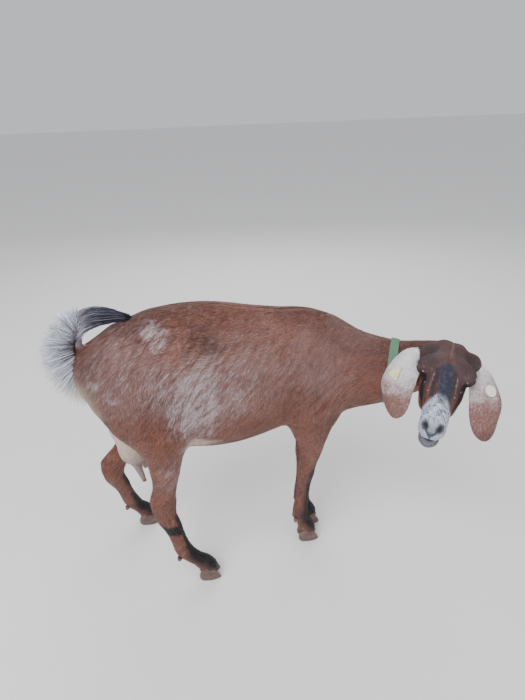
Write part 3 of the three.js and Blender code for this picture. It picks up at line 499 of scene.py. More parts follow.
class Finish:  # a material
    def __init__(self, name, **fixed):
        self.material = bpy.data.materials.new(name)
        self.material.use_nodes = True
        self.tree = self.material.node_tree
        self.shader = self.tree.nodes["Principled BSDF"]
        for key, value in fixed.items():
            self.shader.inputs[key.replace("_", " ")].default_value = value

    def node(self, kind, settings=None, values=None, output=0):
        made = self.tree.nodes.new(kind)
        for key, value in (settings or {}).items():
            setattr(made, key, value)
        for key, value in (values or {}).items():
            if isinstance(value, Wire):
                self.tree.links.new(value.socket, made.inputs[key])
            else:
                made.inputs[key].default_value = value
        return Wire(self, made.outputs[output])

    def feed(self, socket, wire):
        self.tree.links.new(wire.socket, self.shader.inputs[socket])

    def mix(self, factor, first, second):  # sockets 6 and 7, and output 2, are the ones for colours
        return self.node("ShaderNodeMix", {"data_type": "RGBA"}, {0: factor, 6: first, 7: second}, 2)

    def vector(self, operation, first, second, output=0):
        return self.node("ShaderNodeVectorMath", {"operation": operation}, {0: first, 1: second}, output)

    def dot(self, first, second):
        return self.vector("DOT_PRODUCT", first, second, "Value")

    def length(self, vector):
        return self.vector("LENGTH", vector, (0, 0, 0), "Value")

    def scaled(self, vector, amount):
        return self.node("ShaderNodeVectorMath", {"operation": "SCALE"}, {0: vector, "Scale": amount})

    def combined(self, x, y, z):
        return self.node("ShaderNodeCombineXYZ", None, {0: x, 1: y, 2: z})

    def parts(self, vector):
        split = self.tree.nodes.new("ShaderNodeSeparateXYZ")
        self.tree.links.new(vector.socket, split.inputs[0])
        return [Wire(self, socket) for socket in split.outputs]

    def attribute(self, name):
        return self.node("ShaderNodeAttribute", {"attribute_name": name}, output="Fac")

    def place(self):  # the place in the frame, in metres
        return self.node("ShaderNodeTexCoord", output="Object")

    def drawn(self):  # the place in the drawing, in metres
        return self.vector("SUBTRACT", self.place(), tuple(origin))

    def onHead(self):  # the place on the head, in the head's own millimetres
        place = self.vector("SUBTRACT", self.place(), tuple(headMatrix.translation))
        return self.combined(*[self.dot(place, tuple(headInverse[k, :3])) for k in range(3)])

    def noise(self, vector, scale, detail=2.0, rough=0.5, output=0):
        values = {"Vector": vector, "Scale": scale, "Detail": detail, "Roughness": rough}
        return self.node("ShaderNodeTexNoise", None, values, output)

    def blob(self, vector, centre, reach, soft=0.5):  # 1 inside an ellipsoid, fading outside
        off = self.vector("SUBTRACT", vector, centre)
        off = self.vector("MULTIPLY", off, tuple(1 / value for value in reach))
        return self.length(off).between(1 + soft, 1 - soft)

    def strip(self, vector, start, end, reach, soft=0.4):  # 1 near a stretch of line
        along = Vector(end) - Vector(start)
        off = self.vector("SUBTRACT", vector, start)
        part = self.dot(off, tuple(along / along.length_squared)).clipped()
        gap = self.length(self.vector("SUBTRACT", off, self.scaled(tuple(along), part)))
        return (gap / reach).between(1 + soft, 1 - soft)

    def warped(self, vector, place, scale, amount):  # the same vector, shaken by noise
        shake = self.vector("SUBTRACT", self.noise(place, scale, 3, output="Color"), (0.5, 0.5, 0.5))
        return self.vector("ADD", vector, self.scaled(shake, amount))

    def bump(self, height, strength, distance):
        values = {"Height": height, "Strength": strength, "Distance": distance}
        self.feed("Normal", self.node("ShaderNodeBump", None, values))


def metres(values):
    return tuple(value / 1000 for value in values)


def asLight(value):  # one part of a screen colour, 0 to 255
    value /= 255
    return ((value + 0.055) / 1.055) ** 2.4 if value > 0.04 else value / 12.92


def tone(*colour):
    return (*[asLight(value) for value in colour], 1.0)


coatTones = {
    "bay": tone(136, 87, 74), "bayLight": tone(162, 110, 92), "bayDeep": tone(98, 60, 52),
    "orange": tone(150, 92, 70), "sheen": tone(166, 134, 132), "frosted": tone(182, 160, 166),
    "white": tone(232, 222, 224), "cream": tone(238, 222, 202), "grey": tone(162, 156, 170),
    "dark": tone(60, 52, 54), "black": tone(28, 26, 30), "slate": tone(50, 56, 76),
    "udder": tone(222, 200, 184), "teat": tone(150, 130, 126), "poll": tone(108, 76, 72),
    "brow": tone(78, 62, 64), "mauve": tone(108, 84, 86), "pink": tone(186, 152, 148),
    "snow": tone(238, 244, 255), "marble": tone(72, 88, 122), "noseGrey": tone(138, 142, 160),
    "lip": tone(92, 86, 100), "frost": tone(255, 252, 255), "earBrown": tone(156, 114, 104),
}

# Markings of the body on its near side, in millimetres of the drawing, each with its twin on the far side:
# place, reach and share. Roan is white hair among the bay, and cream the pale underside. Sheen is painted
# sheen, paler where light falls on the coat, with some paler hair on the neck. Dark is painted shade in the
# hollow before the hip and along the hip's edge, and darker brown and grey patches elsewhere.
bodyMarks = {
    "roan": (((-20, 140, 606), (66, 60, 92), 0.74), ((6, 130, 680), (70, 60, 50), 0.4),
             ((56, 140, 640), (84, 60, 84), 0.3), ((-86, 135, 664), (70, 50, 60), 0.36),
             ((-104, 72, 785), (30, 40, 22), 0.66), ((-92, 96, 757), (20, 30, 22), 0.5),
             ((-180, 90, 700), (130, 110, 120), 0.2), ((140, 140, 690), (130, 80, 100), 0.13),
             ((310, 110, 620), (80, 80, 90), 0.1), ((-95, 120, 403), (36, 50, 60), 0.26),
             ((-250, 105, 668), (24, 24, 18), 0.5), ((-212, 132, 646), (26, 20, 16), 0.42)),
    # painted sheen where light falls on ribs, shoulder, thigh and back, and on the neck partly paler hair
    "sheen": (((120, 140, 660), (130, 90, 90), 0.3), ((285, 120, 690), (70, 100, 90), 0.4),
              ((400, 0, 700), (90, 140, 80), 0.4), ((-170, 130, 690), (110, 100, 90), 0.28),
              ((160, 110, 770), (110, 90, 30), 0.2)),
    # the first three are painted shade in the hollow before the hip, the last two painted shade along the
    # hip's edge, and the two between are darker patches
    "dark": (((24, 102, 753), (50, 56, 38), 0.5), ((0, 92, 770), (24, 40, 20), 0.56),
             ((34, 108, 744), (42, 40, 22), 0.56), ((-268, 74, 702), (26, 34, 30), 0.3),
             ((-100, 145, 596), (66, 30, 46), 0.28), ((-56, 92, 769), (15, 24, 9), 0.45),
             ((-30, 114, 740), (9, 24, 16), 0.45)),
    "cream": (((-26, 116, 480), (46, 34, 20), 1), ((-30, 0, 450), (96, 100, 40), 0.95),
              ((-282, 0, 588), (56, 106, 70), 1), ((-230, 0, 520), (62, 70, 80), 1)),
}

# Tints of the body: tone, height and length in metres of the drawing, from where it begins to where it is
# full, and share
bodyTints = (
    ("orange", (0.56, 0.44), None, 0.4), ("orange", (0.64, 0.52), (-0.02, -0.1), 0.4),
    ("bayDeep", (0.42, 0.24), None, 0.4),
)

# Dark stripes down the fronts of the legs: from, to and reach, in millimetres of the drawing
legStripes = (
    ((306, -66, 385), (300, -54, 300), 10), ((300, -54, 300), (291, -37, 200), 20),
    ((291, -37, 200), (286, -28, 120), 21), ((286, -28, 120), (316, -14, 48), 31),
    ((312, 62, 380), (318, 58, 300), 12), ((318, 58, 300), (308, 54, 200), 20),
    ((308, 54, 200), (306, 48, 120), 22), ((306, 48, 120), (338, 54, 48), 36),
    ((-160, -112, 212), (-132, -122, 196), 15), ((-132, -122, 196), (-94, -112, 192), 17),
    ((-92, -104, 228), (-70, -106, 130), 15), ((-70, -106, 130), (-58, -108, 100), 21),
    ((-58, -108, 100), (2, -112, 50), 30),
    ((-250, 98, 240), (-228, 120, 150), 16), ((-228, 120, 150), (-222, 138, 100), 24),
    ((-222, 138, 100), (-184, 152, 48), 32),
)

# The body's other tones: scales of noise, heights and lengths in metres of the drawing, and shares
bodyLook = {
    "wobble": 9, "fine": 60, "patches": 18, "warp": (22, 0.045), "markSoft": 0.55,
    "bay": (0.62, 1.2), "bayFine": 0.4, "bayDraw": 0.35,
    "topHeight": (0.735, 0.81), "topLength": (0.16, -0.1), "topShare": 0.6,
    "topNeck": ((0.26, 0, 0.78), (0.5, -0.13, 0.72), 0.06),
    "streakTurn": (0.75, 0.66), "streakScale": (105, 50, 24), "streakRough": 0.6,
    "darkShare": 0.7, "sheenShare": 0.6, "patchShare": 0.5,
    "deepStreaks": (2.6, 0.1, 0.7), "lightStreaks": (-2.4, 0.04, 0.6),  # gain, level and share
    "frostLevel": 0.8, "frostStreaks": 4, "frostShare": 0.9,
    "whiteRoan": 0.78, "whiteStreaks": 2.2, "whiteAround": 0.12, "whiteLevel": 0.07, "whiteDraw": 0.9,
    "white": (-0.14, 0.42), "whiteShare": 0.7,
    "dockEnd": ((-0.295, 0, 0.75), (-0.24, 0, 0.8), 0.02),
    "bag": ((-0.2, 0, 0.43), (0.076, 0.062, 0.14), 0.12), "teats": (0.42, 0.36), "bagShade": (0.48, 0.4),
    "stripeWarp": (60, 0.012), "stripeSoft": 0.42,
}


def bodyHide(finish, draw):  # the colour of the body's hair, where draw is a chance from 0 to 1
    t = coatTones
    look = bodyLook
    place = finish.drawn()
    x, y, z = finish.parts(place)
    wobble = finish.noise(place, look["wobble"], 3)
    fine = finish.noise(place, look["fine"])
    patches = finish.noise(place, look["patches"], 3).between(0.3, 0.7)
    warped = finish.warped(place, place, *look["warp"])
    u, v, w = finish.parts(warped)
    mirrored = finish.combined(u, abs(v), w)

    def marks(kind):
        soft = look["markSoft"]
        return reduce(Wire.most, [finish.blob(mirrored, metres(centre), metres(reach), soft) * share
                                  for centre, reach, share in bodyMarks[kind]])

    bay = wobble + fine * look["bayFine"] + draw * look["bayDraw"]
    colour = finish.mix(bay.between(*look["bay"]), t["bay"], t["bayLight"])
    topline = z.between(*look["topHeight"]) * x.between(*look["topLength"])
    topline = topline + finish.strip(warped, *look["topNeck"])
    colour = finish.mix(topline * look["topShare"], colour, t["bayDeep"])
    for name, height, length, share in bodyTints:
        mask = z.between(*height)
        mask = mask * x.between(*length) if length else mask
        colour = finish.mix(mask * share, colour, t[name])
    turnX, turnZ = look["streakTurn"]  # the streaks run the way that the hair lies
    across, sideways, onward = look["streakScale"]
    lie = finish.combined((x * turnX - z * turnZ) * across, y * sideways, (x * turnZ + z * turnX) * onward)
    streaks = finish.noise(lie, 1.0, 3, look["streakRough"]) - 0.5
    mottled = patches * look["patchShare"]
    # painted shade in the hollow before the hip and along the hip's edge, and darker patches
    colour = finish.mix(marks("dark") * (mottled + look["darkShare"] + streaks), colour, t["dark"])
    for name, (gain, level, share) in (("bayDeep", look["deepStreaks"]), ("bayLight", look["lightStreaks"])):
        colour = finish.mix((streaks * gain + level).clipped() * share, colour, t[name])
    # painted sheen, and on the neck partly paler hair
    colour = finish.mix(marks("sheen") * (mottled + look["sheenShare"]), colour, t["sheen"])
    roan = marks("roan")
    frosted = (roan * (look["frostLevel"] - streaks * look["frostStreaks"])).clipped()
    colour = finish.mix(frosted * look["frostShare"], colour, t["frosted"])
    white = roan * look["whiteRoan"] - streaks * (roan + look["whiteAround"]) * look["whiteStreaks"]
    white = (white + look["whiteLevel"] - draw * look["whiteDraw"]).between(*look["white"])
    colour = finish.mix(white * look["whiteShare"], colour, t["white"])
    colour = finish.mix(marks("cream"), colour, t["cream"])
    colour = finish.mix(finish.strip(place, *look["dockEnd"]), colour, t["grey"])
    # the udder darker lower down and on the teats: painted shade, with the teats' own darker skin
    shade = (z + y * 0.2 + wobble * 0.05).between(*look["bagShade"]) * 0.5
    shade = shade + z.between(*look["teats"]) * 0.3 + fine * 0.2
    colour = finish.mix(finish.blob(place, *look["bag"]), colour, finish.mix(shade, t["udder"], t["teat"]))
    shaken = finish.warped(place, place, *look["stripeWarp"])
    soft = look["stripeSoft"]
    stripes = [finish.strip(shaken, metres(first), metres(last), reach / 1000, soft)
               for first, last, reach in legStripes]
    return finish.mix(reduce(Wire.most, stripes), colour, t["black"])


# Markings of the face, in the head's own millimetres: tone, from, to, reach, share, and whether both sides
# have it. Then the white flecks, and the dark lines of lips and nose, which are painted shade in the mouth's
# gap and in the grooves of lip and nose.
faceMarks = (
    ("mauve", (62, 30, 22), (108, 34, 24), 30, 0.9, True), ("brow", (36, 50, 4), (66, 58, 0), 27, 0.85, True),
    ("brow", (92, 48, 16), (70, 56, 12), 20, 0.7, True), ("poll", (8, 0, 20), (44, 0, 26), 22, 0.6, False),
    ("mauve", (112, 26, 24), (176, 28, 14), 12, 0.8, True),
    ("pink", (124, 26, 23), (172, 28, 9), 2.5, 0.55, True),
    ("bay", (170, 28, 10), (200, 28, 2), 7, 0.9, True),
    ("black", (108, 52, 2), (134, 43, -8), 10, 0.92, True),
    ("black", (134, 43, -8), (164, 38, -22), 9.5, 0.92, True),
    ("black", (164, 38, -22), (186, 34, -38), 7, 0.8, True),
    ("brow", (118, 21, 29), (196, 21, 20), 7, 0.85, True),
    ("brow", (150, 22, 22), (196, 22, 18), 6, 0.5, True),
)
flecks = (((116, 49, 9), 2.2), ((136, 41, -5), 2.2), ((146, 26, 20), 1.8), ((131, 27, 23), 1.8),
          ((171, 29, 8), 2))
lipMarks = (
    ((266, -18, -40), (206, -34, -39), 2.2), ((266, 18, -40), (206, 34, -39), 2.2),
    ((272, 0, -14), (271, 0, -38), 2.4), ((264, -13, -10), (271, -3, -22), 3.6),
    ((264, 13, -8), (271, 3, -22), 3.6), ((271, -14, -39), (271, 14, -39), 2.6),
)

# The face's other tones: scales of noise, places in the head's own millimetres, and shares
faceLook = {
    "wobble": 16, "fine": 110, "mottle": 42, "warp": (80, 7.0), "markSoft": 0.45, "bay": (0.5, 1.1),
    "cheekHeight": (-16, -28), "cheekLength": (30, 60), "cheekShare": 0.9, "mottleHeight": (-20, 0),
    "noseTop": ((112, -1, 33), (150, 2, 29), 15.5, 0.45), "noseLow": ((150, 2, 29), (204, 8, 24), 16, 0.4),
    "muzzle": (194, 205), "muzzleSide": (33, 25), "veinScale": (1.3, 0.5, 0.4), "veins": 0.14,
    "marbling": (1.36, 1.56), "marblingEnd": (282, 262),
    "noseRun": ((204, 6, 24), (236, 6, 14), 5, 0.8), "notch": ((186, 2, 26), (206, 3, 24), 9, 0.5),
    "tip": (236, 258), "tipShare": 0.42, "pad": ((268, 0, -10), (14, 12, 10), 0.4), "padShare": 0.6,
    "chin": ((250, 0, -56), (40, 32, 16), 0.2), "crescent": ((262, 0, -66), (16, 20, 8), 0.5),
    "lip": ((268, 0, -42), (10, 16, 3), 0.4), "lipShare": 0.9,
    # the slit is black painted shade inside the nostril
    "nostril": ((258, 15, -7), (15, 9, 12), 0.35), "slit": ((260, 14.5, -7), (11, 4.4, 6.5), 0.25),
    "eyeRim": ((97, 58, 1), (19, 14, 10), 0.35), "rimShare": 0.85,
}


def headHide(finish, draw):  # the colour of the face
    t = coatTones
    look = faceLook
    face = finish.onHead()
    place = finish.drawn()
    wobble = finish.noise(place, look["wobble"], 3)
    fine = finish.noise(place, look["fine"])
    mottle = finish.noise(place, look["mottle"], 3).between(0.42, 0.68)
    warped = finish.warped(face, place, *look["warp"])
    u, v, w = finish.parts(warped)
    side = abs(v)
    mirrored = finish.combined(u, side, w)
    colour = finish.mix((wobble + draw * 0.4).between(*look["bay"]), t["bayDeep"], t["bay"])
    cheek = w.between(*look["cheekHeight"]) * u.between(*look["cheekLength"])
    colour = finish.mix(cheek * look["cheekShare"], colour, t["orange"])
    for name, first, last, reach, share, both in faceMarks:
        mask = finish.strip(mirrored if both else warped, first, last, reach, look["markSoft"])
        colour = finish.mix(mask * share, colour, t[name])
    colour = finish.mix(mottle * w.between(*look["mottleHeight"]) * 0.5, colour, t["brow"])
    nose = finish.strip(warped, *look["noseTop"]).most(finish.strip(warped, *look["noseLow"]))
    colour = finish.mix(nose, colour, finish.mix(fine.between(0.4, 0.8) * 0.2, t["slate"], t["grey"]))
    for centre, reach in flecks:
        colour = finish.mix(finish.blob(mirrored, centre, (reach,) * 3, 0.6) * 0.85, colour, t["white"])
    ragged = u + draw * 16  # an edge that each tuft crosses at its own place
    muzzle = (ragged - (side - 8).most(0) * 0.75).between(*look["muzzle"])
    muzzle = muzzle * (v + w * 0.3).between(*look["muzzleSide"])
    acrossVein, sideVein, highVein = look["veinScale"]
    veins = finish.combined(u - side * acrossVein, v * sideVein, w * highVein)
    veins = finish.noise(veins, look["veins"], 3)
    marbling = (draw + veins * 1.7).between(*look["marbling"]) * ragged.between(*look["marblingEnd"])
    marbling = marbling.most(finish.strip(warped, *look["noseRun"]) * veins.between(0.4, 0.6) * 0.8)
    colour = finish.mix(muzzle, colour, finish.mix(marbling * 0.85, t["snow"], t["marble"]))
    notch = finish.strip(warped, *look["notch"]) * (draw + 0.2).least(1)
    colour = finish.mix(notch, colour, t["slate"])
    tip = (u - side * 0.4).between(*look["tip"])
    colour = finish.mix(tip * look["tipShare"], colour, t["noseGrey"])
    colour = finish.mix(finish.blob(warped, *look["pad"]) * look["padShare"], colour, t["noseGrey"])
    colour = finish.mix(finish.blob(warped, *look["chin"]) * (0.95 - draw * 0.3), colour, t["lip"])
    colour = finish.mix(finish.blob(warped, *look["crescent"]) * (draw * 0.5 + 0.4), colour, t["grey"])
    # painted shade in the mouth's gap and the grooves of lip and nose, and slate round the nostrils
    lips = [finish.strip(warped, *mark) for mark in lipMarks]
    lips += [finish.blob(warped, *look["lip"]), finish.blob(mirrored, *look["nostril"])]
    colour = finish.mix(reduce(Wire.most, lips) * look["lipShare"], colour, t["slate"])
    faceX, faceY, faceZ = finish.parts(face)
    # black inside each nostril: painted shade in its hollow
    slit = finish.blob(finish.combined(faceX, abs(faceY), faceZ), *look["slit"])
    colour = finish.mix(slit, colour, t["black"])
    return finish.mix(finish.blob(mirrored, *look["eyeRim"]) * look["rimShare"], colour, t["black"])


earLook = {"wobble": 40, "fine": 300, "brown": (0.59, 0.69), "frost": (0.62, 0.7), "speck": (0.85, 1.1),
           "speckShare": 0.16, "tip": (0.6, 0.57), "tipShare": 0.6}


def earHide(finish, draw):  # white and pink frost that turns brown towards the tip
    t = coatTones
    look = earLook
    place = finish.drawn()
    z = finish.parts(place)[2]
    wobble = finish.noise(place, look["wobble"], 3)
    fine = finish.noise(place, look["fine"])
    height = z + wobble * 0.08 + (draw + fine) * 0.022 - 0.06
    colour = finish.mix(height.between(*look["brown"]), t["earBrown"], t["pink"])
    colour = finish.mix(height.between(*look["frost"]), colour, t["frost"])
    speck = (draw + wobble * 0.3).between(*look["speck"])
    colour = finish.mix(speck * look["speckShare"], colour, t["frost"])
    tip = (z + wobble * 0.02).between(*look["tip"])
    return finish.mix(tip * look["tipShare"], colour, t["bayDeep"])


hideOf = {"body": bodyHide, "head": headHide, "ear": earHide}

# How light and glossy the hair is, and the grain of the skin below it
hairLook = {"roughness": 0.42, "specular": 0.45, "alongShare": 0.3,
            "rootLight": {"body": 0.66, "head": 0.72, "ear": 0.72},
            "drawShare": {"body": 0.32, "head": 0.2, "ear": 0.2}}
skinLook = {"roughness": 0.55, "rough": 0.6, "light": (0.72, 0.3), "bump": (0.5, 0.0008),
            "hairScale": {"body": (160, 420, 90), "head": (260, 260, 260), "ear": (260, 260, 260)}}


def hairFinish(name, part):  # for the tufts, which carry a chance of their own, and how far along a hair lies
    finish = Finish(name, Roughness=hairLook["roughness"], Specular_IOR_Level=hairLook["specular"])
    draw = finish.attribute("chance")
    colour = hideOf[part](finish, draw)
    # darker at the root and lighter at the tip: painted shade among the tufts
    shade = finish.attribute("along") * hairLook["alongShare"] + hairLook["rootLight"][part]
    finish.feed("Base Color", finish.scaled(colour, shade + draw * hairLook["drawShare"][part]))
    return finish.material


def skinFinish(name, part):  # for the skin below, with short hair as bump
    finish = Finish(name, Roughness=skinLook["roughness"])
    streaks = finish.vector("MULTIPLY", finish.drawn(), skinLook["hairScale"][part])
    strand = finish.noise(streaks, 1.0, 3, skinLook["rough"])
    draw = strand.between(0.3, 0.7)
    level, share = skinLook["light"]
    finish.feed("Base Color", finish.scaled(hideOf[part](finish, draw), draw * share + level))
    finish.bump(strand, *skinLook["bump"])
    return finish.material


skin.data.materials.clear()
for part in hideOf:
    skin.data.materials.append(skinFinish("skin_" + part, part))
firstVert = taken(skin.data.loops, "vertex_index")[taken(skin.data.polygons, "loop_start")]
slots = np.where(isEar[firstVert], 2, np.where(isHead[firstVert], 1, 0))
skin.data.polygons.foreach_set("material_index", slots.astype(np.int32))
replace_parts(skin, *fleshNodes)
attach(skin, "root")
print("skin finished")

# Coat: what the tufts are rooted in
rng = np.random.default_rng(41)
skin.data.calc_loop_triangles()
tris = taken(skin.data.loop_triangles, "vertices", 3)
triLoops = taken(skin.data.loop_triangles, "loops", 3)
uvs = taken(skin.data.uv_layers["OFBake"].data, "uv", 2, float)
skinPoints = pointsOf(skin.data)
skinNormals = normalsOf(skin.data)
corner = skinPoints[tris]
triAreas = 0.5 * np.linalg.norm(np.cross(corner[:, 1] - corner[:, 0], corner[:, 2] - corner[:, 0]), axis=1)
triOwner = ownerOf[tris[:, 0]]
skinTree = BVHTree.FromPolygons([Vector(p) for p in skinPoints], tris.tolist())
legNames = ("foreleg_right", "foreleg_left", "hindleg_right", "hindleg_left")
nodeIndex = {name: i for i, name in enumerate(fleshNodes)}

# Each stretch of the coat: tufts per square metre, their length, width and lift in metres
coatForm = {
    "trunk": {"density": 150000, "length": 0.023, "width": 0.00145, "lift": 0.0021},
    "neck": {"density": 150000, "length": 0.017, "width": 0.0014, "lift": 0.0018},
    "leg": {"density": 118000, "length": 0.0115, "width": 0.0014, "lift": 0.0011},
    "head": {"density": 290000, "length": 0.0066, "width": 0.001, "lift": 0.0007},
    "ear": {"density": 260000, "length": 0.0075, "width": 0.00095, "lift": 0.0006, "slot": "ear_coat"},
    "udder": {"density": 60000, "length": 0.0065, "width": 0.001, "lift": 0.0007, "slot": "udder_skin"},
}

# All tufts: how their measures vary, how they swing, and how they stand and sink in the skin, in metres
tuftForm = {"lengths": (0.7, 1.25), "lifts": (0.5, 1.35), "widths": (0.75, 1.25), "thickness": 0.28,
            "drift": 0.22, "driftWaves": ((61, 47, 53), (29, -37, 23)), "swing": 0.16,
            "arch": 0.45, "clear": 0.0002, "bend": 0.75, "sunk": 0.0007, "patch": 0.0015, "quickShare": 0.12}
thin = 1


def strands(name, paths, across, widths, thickness, rootUv, chance, material):  # hairs, as one mesh
    count, rows = paths.shape[:2]
    rings = rows - 2
    along = unit(paths[:, 2:] - paths[:, :-2])
    side = unit(across[:, None] - along * (across[:, None] * along).sum(-1, keepdims=True))
    up = np.cross(side, along)
    middle = paths[:, 1:-1]
    spread = side * (widths / 2)[..., None]
    ring = np.stack([middle - spread, middle + spread, middle + up * thickness[..., None]], axis=2)
    points = np.concatenate([paths[:, :1], ring.reshape(count, rings * 3, 3), paths[:, -1:]], axis=1)
    per = rings * 3 + 2  # the points of one hair: root, three to each ring, and tip
    faces = [(0, 1 + (k + 1) % 3, 1 + k) for k in range(3)]
    for r in range(rings - 1):
        a, b = 1 + 3 * r, 4 + 3 * r
        for k in range(3):
            n = (k + 1) % 3
            faces += [(a + k, a + n, b + k), (a + n, b + n, b + k)]
    last = 1 + 3 * (rings - 1)
    faces += [(last + k, last + (k + 1) % 3, per - 1) for k in range(3)]
    faces = np.array(faces)
    p = points[0][faces]
    if np.einsum("ij,ij->i", p[:, 0], np.cross(p[:, 1], p[:, 2])).sum() < 0:  # inside out
        faces = faces[:, ::-1]
    corners = (faces[None] + np.arange(count)[:, None, None] * per).reshape(-1)
    patch = np.zeros((per, 2))
    patch[0] = (0, -1)
    patch[-1] = (0, 1)
    for r in range(rings):
        patch[1 + 3 * r:4 + 3 * r, 0] = (-1, 1, 0)
        patch[1 + 3 * r:4 + 3 * r, 1] = 2 * (r + 1) / (rings + 1) - 1
    uv = (rootUv[:, None] + patch[None] * tuftForm["patch"]).reshape(-1, 2)
    made = bpy.data.meshes.new(name)
    made.vertices.add(count * per)
    made.loops.add(len(corners))
    made.polygons.add(len(corners) // 3)
    made.vertices.foreach_set("co", points.astype(np.float32).ravel())
    made.loops.foreach_set("vertex_index", corners.astype(np.int32))
    made.polygons.foreach_set("loop_start", np.arange(0, len(corners), 3, dtype=np.int32))
    made.update(calc_edges=True)
    made.uv_layers.new(name="OFBake").data.foreach_set("uv", uv[corners].astype(np.float32).ravel())
    along = np.tile((patch[:, 1] + 1) / 2, count)
    for key, values in (("chance", np.repeat(chance, per)), ("along", along)):
        made.attributes.new(key, "FLOAT", "POINT").data.foreach_set("value", values.astype(np.float32))
    made.shade_smooth()
    made.materials.append(material)
    obj = linked(name, made)
    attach(obj, "root")
    print(name, count, "strands", len(corners) // 3, "faces")
    return obj


def rootsIn(faces, density):  # evenly drawn places on some of the skin's faces
    share = np.cumsum(triAreas[faces] * density)
    count = int(share[-1])
    spots = (np.arange(count) + rng.random(count)) / count * share[-1]
    chosen = faces[np.minimum(np.searchsorted(share, spots), len(faces) - 1)]
    a, b = rng.random((2, count))
    flip = a + b > 1
    a, b = np.where(flip, 1 - a, a), np.where(flip, 1 - b, b)
    weights = np.stack([1 - a - b, a, b], axis=1)[..., None]
    return ((skinPoints[tris[chosen]] * weights).sum(1), unit((skinNormals[tris[chosen]] * weights).sum(1)),
            (uvs[triLoops[chosen]] * weights).sum(1), chosen)


# Which way the hair lies, as parts forward, left and up, and on the face towards the lips, left and up.
# On the trunk it runs back, outwards along the back and down over the flank.
hairWays = {"down": (-0.15, 0, -1), "belly": (-1, 0, -0.25), "hollow": (-1, 0, 0.25),
            "chest": (-0.45, 0.15, -1), "neck": (-0.75, 0.4, -0.75), "leg": (-0.12, 0, -1),
            "udder": (-0.2, 0, -1), "face": (1, 0, -0.2), "cheek": (-0.6, 0, -0.8),
            "crown": (-0.5, 0, -0.5), "crownSide": 0.7}
hairLie = {"out": 0.35, "flankBack": 0.55, "rumpBack": 0.1, "downward": (0.2, 0.8, 0.3)}

# Where each way begins and is full, in millimetres of the drawing, and on the face in the head's own
lieZones = {"flank": (770, 640), "rump": (-60, -160), "chest": (300, 370),
            "thigh": (-50, -110), "shoulder": (200, 250), "legTop": (540, 440),
            "bellyBack": (-110, -40), "bellyFront": (250, 200), "bellyTop": (500, 440),
            "face": (40, 90), "cheekTop": (-20, -50), "cheekFront": (190, 150)}
hollowPlace = {"x": (12, 60), "z": (755, 50)}  # the hollow before the hip: its middle and reach


def blended(way, share, other):
    return way * (1 - share[:, None]) + share[:, None] * np.array(other)


def lieOfCoat(points, owners):  # which way the hair lies at each root
    x, y, z = drawn(points).T

    def zone(name, value):
        return smoothstep(*lieZones[name], value)

    flank = zone("flank", z)
    rump = zone("rump", x)
    back = -1 + hairLie["flankBack"] * flank + hairLie["rumpBack"] * rump
    out = np.sign(y + 0.001) * hairLie["out"] * (1 - flank)
    always, onFlank, onRump = hairLie["downward"]
    way = np.stack([back, out, -always - onFlank * flank - onRump * rump], axis=1)
    down = zone("legTop", z) * np.maximum(zone("thigh", x), zone("shoulder", x))
    belly = zone("bellyTop", z) * zone("bellyBack", x) * zone("bellyFront", x)
    (middleX, reachX), (middleZ, reachZ) = hollowPlace["x"], hollowPlace["z"]
    hollow = np.exp(-(((x - middleX) / reachX) ** 2 + ((z - middleZ) / reachZ) ** 2))
    way = blended(way, down, hairWays["down"])
    way = blended(way, belly, hairWays["belly"])
    way = blended(way, hollow, hairWays["hollow"])
    way = blended(way, zone("chest", x), hairWays["chest"])
    way[owners == nodeIndex["neck"]] = hairWays["neck"]
    for name in legNames:
        way[owners == nodeIndex[name]] = hairWays["leg"]
    way[owners == nodeIndex["udder"]] = hairWays["udder"]
    local = headward(points)
    crown = np.array(hairWays["crown"]) + np.sign(local[:, 1:2]) * np.array((0, hairWays["crownSide"], 0))
    faceWay = blended(crown, zone("face", local[:, 0]), hairWays["face"])
    cheek = zone("cheekTop", local[:, 2]) * zone("cheekFront", local[:, 0])
    faceWay = blended(faceWay, cheek, hairWays["cheek"])
    turn = np.array(headMatrix.to_3x3()) / (headPlace["scale"] / 1000)
    isFace = owners == nodeIndex["head"]
    way[isFace] = (faceWay @ turn.T)[isFace]
    for key, ear in ears.items():
        mine = owners == nodeIndex["ear_" + key]
        if mine.any():
            line = earLine(ear)
            nearest = np.array([np.argmin(((line - p) ** 2).sum(1)) for p in points[mine]])
            way[mine] = np.gradient(line, axis=0)[nearest]
    return unit(way)


coatMaterials = {part: hairFinish("hair_" + part, part) for part in hideOf}


